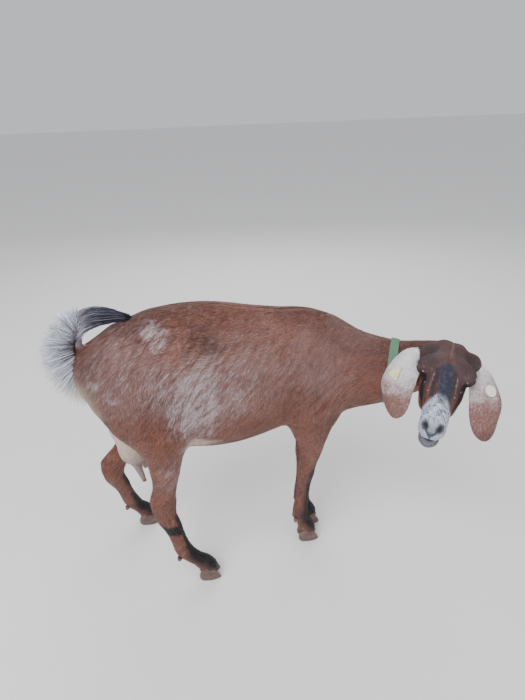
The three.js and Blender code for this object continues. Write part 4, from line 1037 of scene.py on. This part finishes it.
def growCoat(name, part, faces, form, extraLength=None):
    points, normals, uv, chosen = rootsIn(faces, form["density"] * thin)
    count = len(points)
    way = lieOfCoat(points, triOwner[chosen])
    first, second = (points @ np.array(wave) for wave in tuftForm["driftWaves"])
    drift = tuftForm["drift"] * np.sin(first + 2 * np.sin(second))
    swing = drift + rng.normal(0, tuftForm["swing"], count)
    way = unit(way - normals * (way * normals).sum(1, keepdims=True))
    across = np.cross(normals, way)
    way = way * np.cos(swing)[:, None] + across * np.sin(swing)[:, None]
    across = np.cross(normals, way)
    length = form["length"] * rng.uniform(*tuftForm["lengths"], count)
    if extraLength is not None:
        length *= extraLength(points)
    lift = form["lift"] * rng.uniform(*tuftForm["lifts"], count)
    tips = points + way * length[:, None]
    found = [skinTree.find_nearest(Vector(p)) for p in tips]
    ground = np.array([f[0] for f in found])
    groundNormal = np.array([f[1] for f in found])
    tips = ground + groundNormal * lift[:, None]
    rise = lift * tuftForm["arch"] + tuftForm["clear"]
    middle = (points + tips) / 2 + unit(normals + groundNormal) * rise[:, None]
    middle = middle * tuftForm["bend"] + points * (1 - tuftForm["bend"]) + normals * tuftForm["clear"]
    paths = np.stack([points - normals * tuftForm["sunk"], middle, tips], axis=1)
    width = (form["width"] * rng.uniform(*tuftForm["widths"], count))[:, None]
    return strands(name, paths, across, width, width * tuftForm["thickness"], uv, rng.random(count),
                   coatMaterials[part])


def facesOf(*names):
    return np.flatnonzero(np.isin(triOwner, [nodeIndex[name] for name in names]))


# The hair's length at hoof and lips, and how much longer it gets elsewhere, with the heights of the
# drawing or lengths of the head between which it does
longer = {"back": (0.25, 740, 800), "belly": (-0.38, 560, 430), "hoof": 0.72, "foot": (0.28, 40, 120),
          "knee": (0.3, 330, 430), "lips": 0.6, "brow": (0.6, 250, 120)}


def added(name, value):
    more, low, high = longer[name]
    return more * smoothstep(low, high, value)


def trunkLength(points):  # longer along the back, shorter at the belly
    z = drawn(points)[:, 2]
    return (1 + added("back", z)) * (1 + added("belly", z))


def legLength(points):  # longer at the top, short at the hoof
    z = drawn(points)[:, 2]
    return longer["hoof"] + added("foot", z) + added("knee", z)


def headLength(points):  # shorter towards the lips
    return longer["lips"] + added("brow", headward(points)[:, 0])


# The trunk's coat is in four pieces, which meet at these lengths of the drawing
trunkPieces = {"coatRump": (-1000, -130), "coatFlank": (-130, 30), "coatRibs": (30, 180),
               "coatShoulder": (180, 1000)}
trunkFaces = facesOf("torso")
trunkX = drawn(corner[trunkFaces].mean(1))[:, 0]
for name, (hindmost, foremost) in trunkPieces.items():
    mine = trunkFaces[(trunkX >= hindmost) & (trunkX < foremost)]
    growCoat(name, "body", mine, coatForm["trunk"], trunkLength)
growCoat("coatNeck", "body", facesOf("neck"), coatForm["neck"])
growCoat("coatLegs", "body", facesOf(*legNames), coatForm["leg"], legLength)
growCoat("coatUdder", "body", facesOf("udder"), coatForm["udder"])

# No hair grows on the lids and in the nostrils: middle, reach and size, in the head's millimetres
barePlaces = ((headPlace["eye"], (1.25, 1, 1), 15), ((259, 15, -6), (1.5, 0.7, 0.9), 7))
headFaces = facesOf("head")
headSpot = headward(corner[headFaces].mean(1))
bare = np.zeros(len(headFaces), bool)
for side in (-1, 1):
    for (x, y, z), reach, size in barePlaces:
        bare |= np.linalg.norm((headSpot - (x, side * y, z)) / reach, axis=1) < size
growCoat("coatHead", "head", headFaces[~bare], coatForm["head"], headLength)
growCoat("coatEars", "ear", facesOf("ear_right", "ear_left"), coatForm["ear"])
print("coat grown")

# Tail hair: a fan behind the dock, and a plume that arches forward between an upper and a lower line
tailForm = {"quickShare": 0.3, "width": 0.0021, "widths": (0.5, 1.1), "taper": (1, 1, 0.8, 0.5),
            "thickness": 0.4}
fanForm = {"count": 4200, "angles": (-74, -46, -16, 12, 45, 84), "angleShake": 7,
           "lengths": (0.098, 0.1, 0.094, 0.088, 0.076, 0.07), "reach": (0.68, 1.05), "sideShorter": 0.16,
           "spread": 0.42, "open": 0.95, "dock": (0.02, 0.62), "rootDepth": 0.7, "straight": 0.7, "sag": 0.08,
           "shake": 0.003, "tipShake": 0.004, "knots": (0.35, 0.68), "knotRise": 0.03}
plumeForm = {
    "count": 4200, "start": (1.6, 0.5), "reach": (0.5, 0.7), "end": 1.03, "spread": 0.5, "wave": 0.06,
    "half": 0.014, "tipShake": 0.0022, "dockStart": 0.4,
    "upper": ((-306, 0, 752), (-302, 0, 784), (-286, 0, 812), (-265, 0, 825), (-241, 0, 828), (-211, 0, 825),
              (-182, 0, 814), (-154, 0, 798)),
    "lower": ((-290, 0, 735), (-281, 0, 752), (-267, 0, 766), (-251, 0, 775), (-231, 0, 781), (-206, 0, 785),
              (-181, 0, 788), (-158, 0, 793)),
}
tailLook = {"roughness": 0.4, "specular": 0.5, "light": (0.92, 0.12), "pale": (0.1, 0.6),
            "plumeDeep": (0.45, 0.9), "plumeForward": (0.2, 0.7), "plumeGrey": (0.66, 0.74),
            "fanSlate": (0.32, 0.24), "fanTips": (0.85, 0.35), "fanCream": (0.68, 0.62),
            "core": ((-0.282, 0, 0.73), (0.026, 0.03, 0.06), 0.4)}


def bezier(a, b, c, d, steps):
    t = np.linspace(0, 1, steps)[None, :, None]
    a, b, c, d = (p[:, None] for p in (a, b, c, d))
    return a * (1 - t) ** 3 + 3 * b * t * (1 - t) ** 2 + 3 * c * t ** 2 * (1 - t) + d * t ** 3


def dockUv(part):  # the skin's own patch nearest to a root on the dock
    found = [skinTree.find_nearest(Vector(p))[2] for p in onLine(dockLine, part)]
    return uvs[triLoops[np.array(found)]].mean(1)


def tailFinish(name, plume):
    t = coatTones
    look = tailLook
    finish = Finish(name, Roughness=look["roughness"], Specular_IOR_Level=look["specular"])
    draw = finish.attribute("chance")
    along = finish.attribute("along")
    place = finish.drawn()
    x, z = finish.parts(place)[::2]
    pale = finish.mix(draw.between(*look["pale"]), t["grey"], t["snow"])
    if plume:  # pale behind, and dark forward
        deep = finish.mix(draw.between(*look["plumeDeep"]), t["slate"], t["black"])
        forward = (x + 0.305) * 14 + (z - 0.79) * 5 + draw * 0.6 - 0.4
        colour = finish.mix(forward.between(*look["plumeForward"]), pale, deep)
        colour = finish.mix(draw.between(*look["plumeGrey"]) * 0.7, colour, t["grey"])
    else:
        slate = draw.between(*look["fanSlate"]) * along.between(*look["fanTips"])
        colour = finish.mix(slate * 0.75, pale, t["slate"])
        cream = (z + draw * 0.04).between(*look["fanCream"])
        colour = finish.mix(cream * 0.7, colour, t["cream"])
        colour = finish.mix(finish.blob(place, *look["core"]) * 0.5, colour, t["bay"])
    # a little darker at the root: painted shade among the hairs
    level, share = look["light"]
    finish.feed("Base Color", finish.scaled(colour, along * share + level))
    return finish.material


def tailStrands(name, paths, across, part, material):
    count = len(paths)
    widths = tailForm["width"] * rng.uniform(*tailForm["widths"], (count, 1)) * np.array(tailForm["taper"])
    return strands(name, paths, across, widths, widths * tailForm["thickness"], dockUv(part),
                   rng.random(count), material)


def growFan():
    form = fanForm
    count = int(form["count"] * max(thin, tailForm["quickShare"]))
    rows = np.linspace(0, 1, len(form["angles"]))
    row = rng.random(count)
    spread = np.clip(rng.normal(0, form["spread"], count), -1, 1)
    angle = radians(1) * (np.interp(row, rows, form["angles"]) + rng.normal(0, form["angleShake"], count))
    reach = np.interp(row, rows, form["lengths"]) * rng.uniform(*form["reach"], count)
    reach *= 1 - form["sideShorter"] * spread ** 2
    back = np.stack([-np.cos(angle), 0 * angle, np.sin(angle)], axis=1)
    left = np.array((0, 1, 0))[None]
    opened = (spread * form["open"])[:, None]
    out = back * np.cos(opened) + left * np.sin(opened)
    lowest, stretch = form["dock"]
    part = lowest + stretch * row
    off = np.interp(part, dockSteps, dockRadii) * form["rootDepth"]
    start = onLine(dockLine, part) + out * off[:, None]
    pull = unit(out * form["straight"] + back * (1 - form["straight"]))
    tip = start + pull * reach[:, None] + rng.normal(0, form["tipShake"], (count, 3))
    tip[:, 2] -= reach * form["sag"]
    near, far = form["knots"]
    one = start + out * (reach * near)[:, None]
    two = start + out * (reach * far)[:, None] + rng.normal(0, form["shake"], (count, 3))
    two[:, 2] += reach * form["knotRise"]
    paths = bezier(start, one, two, tip, 6)
    across = np.cross(back, left) * rng.normal(0, 1, (count, 1)) + left * rng.normal(0, 1, (count, 1))
    return tailStrands("tailFringe", paths, unit(across + 0.01), part, tailFinish("hair_fringe", False))


def growPlume():
    form = plumeForm
    count = int(form["count"] * max(thin, tailForm["quickShare"]))
    upper, lower = (curveThrough([at(*p) for p in form[key]], 101) for key in ("upper", "lower"))
    height = rng.random(count)
    power, latest = form["start"]
    start = rng.random(count) ** power * latest
    reach = np.minimum(rng.uniform(*form["reach"], count), form["end"] - start)
    sideways = rng.normal(0, form["spread"], count)
    paths = np.zeros((count, 6, 3))
    for k, stop in enumerate(np.linspace(0, 1, 6)):
        spot = start + reach * stop
        level = height + form["wave"] * np.sin(3 * spot + 6 * height)
        bulge = form["half"] * np.sin(pi * np.clip(0.1 + 0.86 * spot, 0, 1))  # thickest midway
        bulge *= np.sqrt(np.clip(1.1 - (2 * level - 1) ** 2, 0.05, 1))  # and midway between the lines
        paths[:, k] = onLine(lower, spot) * (1 - level)[:, None] + onLine(upper, spot) * level[:, None]
        paths[:, k, 1] += sideways * bulge
    paths[:, -1] += rng.normal(0, form["tipShake"], (count, 3))
    across = unit(rng.normal(0, 1, (count, 3)) * np.array((0.2, 1, 1)))
    part = np.clip(form["dockStart"] + start, 0, 1)
    return tailStrands("tailPlume", paths, across, part, tailFinish("hair_plume", True))


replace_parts(growFan(), "tail_dock")
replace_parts(growPlume(), "tail_plume")
print("tail grown")

# Hooves: each claw and dewclaw from its solid, rounded. A claw leans, narrows to its toe and has a low heel.
hornTones = {"deep": tone(66, 52, 50), "pale": tone(126, 100, 92), "tip": tone(88, 74, 68)}
hornLook = {"rings": (25, 25, 420), "lines": (300, 300, 20), "pale": (0.4, 0.85), "ground": (0.03, 0.004),
            "roughness": (0.4, 0.3), "bump": (0.6, 0.0006)}
clawForm = {"lean": 0.16, "leanFrom": 0.3, "narrowing": 0.4, "narrowFrom": 0.55, "heel": 0.22, "heelTo": 0.4}


def hornFinish():
    finish = Finish("horn")
    place = finish.drawn()
    rings = finish.noise(finish.vector("MULTIPLY", place, hornLook["rings"]), 1.0)
    lines = finish.noise(finish.vector("MULTIPLY", place, hornLook["lines"]), 1.0)
    grain = (rings + lines * 0.25).between(*hornLook["pale"])
    colour = finish.mix(grain, hornTones["deep"], hornTones["pale"])
    ground = finish.parts(place)[2].between(*hornLook["ground"])
    finish.feed("Base Color", finish.mix(ground * 0.5, colour, hornTones["tip"]))
    level, share = hornLook["roughness"]
    finish.feed("Roughness", rings * share + level)
    finish.bump(rings * 0.8 + lines * 0.2, *hornLook["bump"])
    return finish.material


horn = hornFinish()
for name in sorted(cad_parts):
    if "claw" not in name:
        continue
    low, high = (np.array(end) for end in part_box(name))
    piece = objectFrom(name.replace("claw", "claw_horn"), mergedCopy([name], 0))
    modified(piece, "SUBSURF", levels=2, render_levels=2)
    settled(piece)
    points = pointsOf(piece.data)
    if not name.startswith("dew"):
        wide, deep, tall = high - low
        forward, side, height = ((points - low) / (high - low)).T
        leaning = clawForm["lean"] * smoothstep(clawForm["leanFrom"], 1, forward)
        narrowing = clawForm["narrowing"] * smoothstep(clawForm["narrowFrom"], 1, forward)
        sinking = clawForm["heel"] * smoothstep(clawForm["heelTo"], 0, forward)
        points[:, 0] -= wide * height * leaning
        points[:, 1] -= deep * (side - 0.5) * narrowing
        points[:, 2] -= tall * height * sinking
    least, most = points.min(0), points.max(0)
    setPoints(piece.data, low + (points - least) / (most - least) * (high - low))  # in the solid's own box
    piece.data.shade_smooth()
    piece.data.materials.append(horn)
    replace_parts(piece, name)
    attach(piece, "root")
print("hooves made")

# Eyes: an amber ball with a level pupil. The rings run from the middle out: from, to and tone.
eyeForm = {"outward": (0.2, 0.94, 0.28), "forward": (1, 0, -0.18),
           "amber": (tone(150, 92, 34), tone(206, 158, 78)), "spokes": 9,
           "rings": (((0.55, 0.68), tone(60, 36, 20)), ((0.7, 0.76), tone(150, 128, 112))),
           "pupil": (0.42, 0.17), "pupilEdge": (1.15, 0.85), "pupilTone": tone(8, 8, 12)}

# Lids round it: half a lid's width and its two heights in millimetres, and each roll's size, radius and
# thickness, with how much thicker it is above
lidForm = {"half": 13.2, "upper": 7.9, "lower": 5.8, "corner": 0.3, "tilt": 0.8, "steps": 40,
           "rolls": {"lids_": (1.05, 14.5, 0.0018, 0.0006), "lid_folds_": (1.3, 15.1, 0.0017, 0.0005)},
           "tones": (tone(24, 20, 21), tone(58, 46, 45)), "roughness": 0.35, "bump": (0.4, 0.0006)}
lashForm = {"count": 60, "edge": (1.04, 15.3), "from": 2, "to": 19, "fanning": 0.18, "out": 0.85,
            "droop": 0.15, "length": 0.0065, "rise": 0.001, "knot": 0.0035, "dip": 0.0006, "width": 0.00035,
            "thickness": 0.8}


def eyeAxes(side):  # outward, forward and up, in the frame
    turn = headMatrix.to_3x3().normalized()
    outward = Vector(eyeForm["outward"]).normalized()
    outward.y *= side
    forward = Vector(eyeForm["forward"])
    forward = (forward - outward * forward.dot(outward)).normalized()
    up = outward.cross(forward)
    if up.z < 0:
        up = -up
    return turn @ outward, turn @ forward, turn @ up


def eyeFinish(name, side):
    forward, up = (axis / headPlace["eyeRadius"] for axis in eyeAxes(side)[1:])
    finish = Finish(name, Roughness=0.08, Coat_Weight=1.0, Coat_Roughness=0.03)
    place = finish.vector("SUBTRACT", finish.place(), tuple(inHead(eyeX, side * eyeY, eyeZ)))
    f = finish.dot(place, tuple(forward))
    u = finish.dot(place, tuple(up))
    gap = (f * f + u * u) ** 0.5
    spokes = finish.combined(f / (gap + 0.05), u / (gap + 0.05), gap * 0.6)
    spokes = finish.noise(spokes, eyeForm["spokes"], 3)
    colour = finish.mix(spokes.between(0.35, 0.65), *eyeForm["amber"])
    for ends, shade in eyeForm["rings"]:
        colour = finish.mix(gap.between(*ends), colour, shade)
    long, high = eyeForm["pupil"]
    pupil = ((f / long) ** 4 + (u / high) ** 4).between(*eyeForm["pupilEdge"])
    finish.feed("Base Color", finish.mix(pupil, colour, eyeForm["pupilTone"]))
    return finish.material


def almond(side, grow, radius):  # a line round the eye, on a ball of that radius
    outward, forward, up = eyeAxes(side)
    centre = inHead(eyeX, side * eyeY, eyeZ)
    line = []
    for angle in np.linspace(0, 2 * pi, lidForm["steps"], endpoint=False):
        f = lidForm["half"] * cos(angle) * grow
        height = lidForm["upper"] if sin(angle) > 0 else lidForm["lower"]
        u = sin(angle) * abs(sin(angle)) ** lidForm["corner"] * height * grow + lidForm["tilt"] * cos(angle)
        depth = max(radius ** 2 - f * f - u * u, 9) ** 0.5
        line.append(centre + (forward * f + up * u + outward * depth) / 1000)
    return line


def growLashes(name, side, material):
    form = lashForm
    outward, forward, up = (np.array(axis) for axis in eyeAxes(side))
    count = form["count"]
    edge = np.array(almond(side, *form["edge"]))[form["from"]:form["to"]]
    start = onLine(edge, rng.random(count))
    lean = rng.normal(0, form["fanning"], (count, 1)) * forward
    out = unit(outward * form["out"] - up * form["droop"] + lean)
    tip = start + out * form["length"] + up * form["rise"]
    middle = start + out * form["knot"] - up * form["dip"]
    paths = np.stack([start, (start + middle) / 2, middle, tip], axis=1)
    widths = np.full((count, 2), form["width"])
    strands(name, paths, np.tile(forward, (count, 1)), widths, widths * form["thickness"],
            np.full((count, 2), 0.5), np.zeros(count), material)


lidFinish = Finish("lid", Roughness=lidForm["roughness"])
lidGrain = lidFinish.noise(lidFinish.drawn(), 220, 3)
lidFinish.feed("Base Color", lidFinish.mix(lidGrain.between(0.3, 0.7), *lidForm["tones"]))
lidFinish.bump(lidGrain, *lidForm["bump"])
for side, key in ((-1, "right"), (1, "left")):
    bm = bmesh.new()
    bmesh.ops.create_uvsphere(bm, u_segments=48, v_segments=32, radius=headPlace["eyeRadius"],
                              matrix=Matrix.Translation(inHead(eyeX, side * eyeY, eyeZ)))
    ball = objectFrom("eyeball_" + key, bm)
    ball.data.shade_smooth()
    ball.data.materials.append(eyeFinish("eye_" + key, side))
    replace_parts(ball, "eye_" + key)
    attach(ball, "root")
    angles = np.linspace(0, 2 * pi, lidForm["steps"], endpoint=False)
    for name, (grow, radius, thickness, more) in lidForm["rolls"].items():
        lid = tube(name + key, almond(side, grow, radius), thickness + more * np.sin(angles), True, 5)
        lid.data.shade_smooth()
        lid.data.materials.append(lidFinish.material)
        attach(lid, "root")
    growLashes("lashes_" + key, side, lidFinish.material)
print("eyes made")

# Collar: a woven strap round the neck, and its ring
webForm = {"threads": 0.0016, "tones": (tone(38, 92, 66), tone(122, 160, 132)), "worn": tone(150, 158, 138),
           "dirt": 55, "fuzz": 900, "roughness": 0.8, "bump": (0.7, 0.0005), "neckRadius": 0.07,
           "bevel": 0.0007, "sharp": radians(50), "flat": radians(40), "square": radians(80)}


def webFinish():
    finish = Finish("webbing", Roughness=webForm["roughness"])
    u, v = finish.parts(finish.node("ShaderNodeUVMap", {"uv_map": "weave"}))[:2]
    turns = 2 * pi / webForm["threads"]
    weave = ((u + v * 0.5) * turns).sine() * 0.5 + ((u * 0.5 - v) * turns).sine() * 0.5
    place = finish.drawn()
    dirt = finish.noise(place, webForm["dirt"], 4)
    fuzz = finish.noise(place, webForm["fuzz"])
    colour = finish.mix((weave * 0.5 + 0.5) * 0.6 + fuzz * 0.3, *webForm["tones"])
    colour = finish.mix(dirt.between(0.55, 0.75) * 0.5, colour, webForm["worn"])
    finish.feed("Base Color", colour)
    finish.bump(weave * 0.7 + fuzz * 0.3, *webForm["bump"])
    return finish.material


def strapWeave(obj):  # the weave's own map, along and across the strap
    mesh = obj.data
    points = pointsOf(mesh) - np.array(collarCentre)
    turn = np.array(collarTurn)
    up = np.array((0, 0, 1)) - turn * turn[2]
    up /= np.linalg.norm(up)
    side = np.cross(up, turn)
    angle = np.arctan2(points @ up, points @ side)
    loops = taken(mesh.loops, "vertex_index")
    first = np.repeat(angle[loops[taken(mesh.polygons, "loop_start")]], taken(mesh.polygons, "loop_total"))
    turnOf = angle[loops]  # each face stays on one side of the seam
    turnOf = np.where(turnOf - first > pi, turnOf - 2 * pi, turnOf)
    turnOf = np.where(first - turnOf > pi, turnOf + 2 * pi, turnOf)
    uv = np.stack([turnOf * webForm["neckRadius"], (points @ turn)[loops]], axis=1)
    mesh.uv_layers.new(name="weave").data.foreach_set("uv", uv.astype(np.float32).ravel())


bm = mergedCopy(["collar"], 0)
bmesh.ops.join_triangles(bm, faces=bm.faces, angle_face_threshold=webForm["flat"],
                         angle_shape_threshold=webForm["square"])
sharp = [edge for edge in bm.edges if edge.is_manifold and edge.calc_face_angle(0) > webForm["sharp"]]
bmesh.ops.bevel(bm, geom=sharp, offset=webForm["bevel"], segments=2, affect="EDGES", profile=0.5, material=-1)
strap = objectFrom("collarStrap", bm)
modified(strap, "SUBSURF", levels=2, render_levels=2)
settled(strap)
strapWeave(strap)
strap.data.shade_smooth()
strap.data.materials.append(webFinish())
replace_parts(strap, "collar")
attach(strap, "root")

ringForm = {"radius": 0.011, "wire": 0.002, "tones": (tone(150, 152, 156), tone(190, 192, 194)),
            "scratches": 300, "roughness": (0.25, 0.25)}
steel = Finish("steel", Metallic=1.0)
scratch = steel.noise(steel.drawn(), ringForm["scratches"], 3)
steel.feed("Base Color", steel.mix(scratch.between(0.3, 0.7), *ringForm["tones"]))
polish, scratched = ringForm["roughness"]
steel.feed("Roughness", scratch * scratched + polish)
low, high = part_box("collar_ring")
ringCentre = (low + high) / 2
bm = bmesh.new()
out = Matrix.Translation((ringForm["radius"], 0, 0))
bmesh.ops.create_circle(bm, segments=14, radius=ringForm["wire"],
                        matrix=out @ Matrix.Rotation(pi / 2, 4, "X"))
bmesh.ops.spin(bm, geom=bm.verts[:] + bm.edges[:], cent=(0, 0, 0), axis=(0, 0, 1), angle=2 * pi, steps=48,
               use_merge=True)
bmesh.ops.recalc_face_normals(bm, faces=bm.faces)
upright = Matrix.Translation(ringCentre) @ Matrix.Rotation(pi / 2, 4, "Y")
bmesh.ops.transform(bm, matrix=upright, verts=bm.verts)
ring = objectFrom("leadRing", bm)
ring.data.shade_smooth()
ring.data.materials.append(steel.material)
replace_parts(ring, "collar_ring")
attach(ring, "root")

# A loop of webbing round the strap that holds the ring
keeperForm = {"corners": ((0.0125, 0), (0, 0.0035), (-0.0125, 0), (0, -0.0058)), "wide": 0.0045,
              "thick": 0.0006, "above": 0.0125}
loop = bpy.data.curves.new("keeper", "CURVE")
loop.dimensions = "2D"
loop.fill_mode = "NONE"
loop.extrude = keeperForm["wide"]
loop.bevel_depth = keeperForm["thick"]
loop.bevel_resolution = 2
line = loop.splines.new("BEZIER")
line.bezier_points.add(len(keeperForm["corners"]) - 1)
line.use_cyclic_u = True
for spot, (x, y) in zip(line.bezier_points, keeperForm["corners"]):
    spot.co = (x, y, 0)
    spot.handle_left_type = "AUTO"
    spot.handle_right_type = "AUTO"
keeper = meshFrom(loop)
along = Vector((collarTurn.x, collarTurn.y, 0)).normalized()
upward = Vector((0, 0, 1))
turn = Matrix((along, upward, along.cross(upward))).transposed().to_4x4()
keeper.data.transform(Matrix.Translation(ringCentre + Vector((0, 0, keeperForm["above"]))) @ turn)
keeper.data.materials.clear()
keeper.data.materials.append(lidFinish.material)
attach(keeper, "root")

# The ear tags keep their solids and get a faded plastic
tagTones = {"ear_tag_right": (tone(226, 226, 168), tone(186, 182, 120)),
            "ear_tag_left": (tone(240, 236, 220), tone(196, 188, 160))}
tagLook = {"roughness": (0.35, 0.3), "grime": 120, "grain": 1500, "bump": (0.15, 0.0002)}


def plasticFinish(name, pale, deep):
    finish = Finish(name)
    place = finish.drawn()
    grime = finish.noise(place, tagLook["grime"], 4)
    finish.feed("Base Color", finish.mix(grime.between(0.45, 0.7) * 0.5, pale, deep))
    level, share = tagLook["roughness"]
    finish.feed("Roughness", grime * share + level)
    finish.bump(finish.noise(place, tagLook["grain"]), *tagLook["bump"])
    return finish.material


for name, tones in tagTones.items():
    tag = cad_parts[name]
    tag.data.materials.clear()
    tag.data.materials.append(plasticFinish(name + "_plastic", *tones))
print("collar and tags made")

# Floor, and soft light: each lamp's power, size and place
studio = {"lamps": {"key": (150, 2.6, (-1.8, -2.0, 3.2)), "fill": (34, 3.5, (2.8, -2.0, 1.8)),
                    "back": (50, 3.0, (0.4, 2.8, 2.6))},
          "aim": (0, 0, 0.45), "highlight": 0.4, "sky": tone(232, 234, 238), "skyPower": 0.82,
          "floor": (tone(240, 239, 238), tone(226, 225, 223))}
bm = bmesh.new()
bmesh.ops.create_grid(bm, x_segments=1, y_segments=1, size=30)
floor = objectFrom("floor", bm)
ground = Finish("ground", Roughness=0.8)
speck = ground.noise(ground.place(), 4, 4)
ground.feed("Base Color", ground.mix(speck * 0.3, *studio["floor"]))
floor.data.materials.append(ground.material)
for name, (power, size, place) in studio["lamps"].items():
    lamp = bpy.data.lights.new(name, "AREA")
    lamp.energy = power
    lamp.size = size
    lamp.specular_factor = studio["highlight"]
    obj = linked(name, lamp)
    obj.location = place
    obj.rotation_euler = (Vector(studio["aim"]) - Vector(place)).to_track_quat("-Z", "Y").to_euler()
world = bpy.data.worlds.new("sky")
world.use_nodes = True
world.node_tree.nodes["Background"].inputs["Color"].default_value = studio["sky"]
world.node_tree.nodes["Background"].inputs["Strength"].default_value = studio["skyPower"]
scene.world = world

# The camera of the photo: focal length in its pixels, turns in degrees, and place in the drawing
view = {"focal": 515, "tall": 700, "pitch": 26, "roll": 2, "yaw": 8, "place": (0, -1215, 1270), "sensor": 36}
pitch, roll, yaw = (radians(view[key]) for key in ("pitch", "roll", "yaw"))
ahead = Vector((sin(yaw) * cos(pitch), cos(yaw) * cos(pitch), -sin(pitch)))
right = Vector((cos(yaw), -sin(yaw), 0))
down = ahead.cross(right)
rightward = right * cos(roll) + down * sin(roll)
downward = down * cos(roll) - right * sin(roll)
camera = bpy.data.cameras.new("camera")
camera.sensor_width = view["sensor"]
camera.lens = view["focal"] / view["tall"] * view["sensor"]
eye = linked("camera", camera)
turn = Matrix((rightward, -downward, -ahead)).transposed().to_4x4()
eye.matrix_world = Matrix.Translation(at(*view["place"])) @ turn
scene.camera = eye
print("stage set")
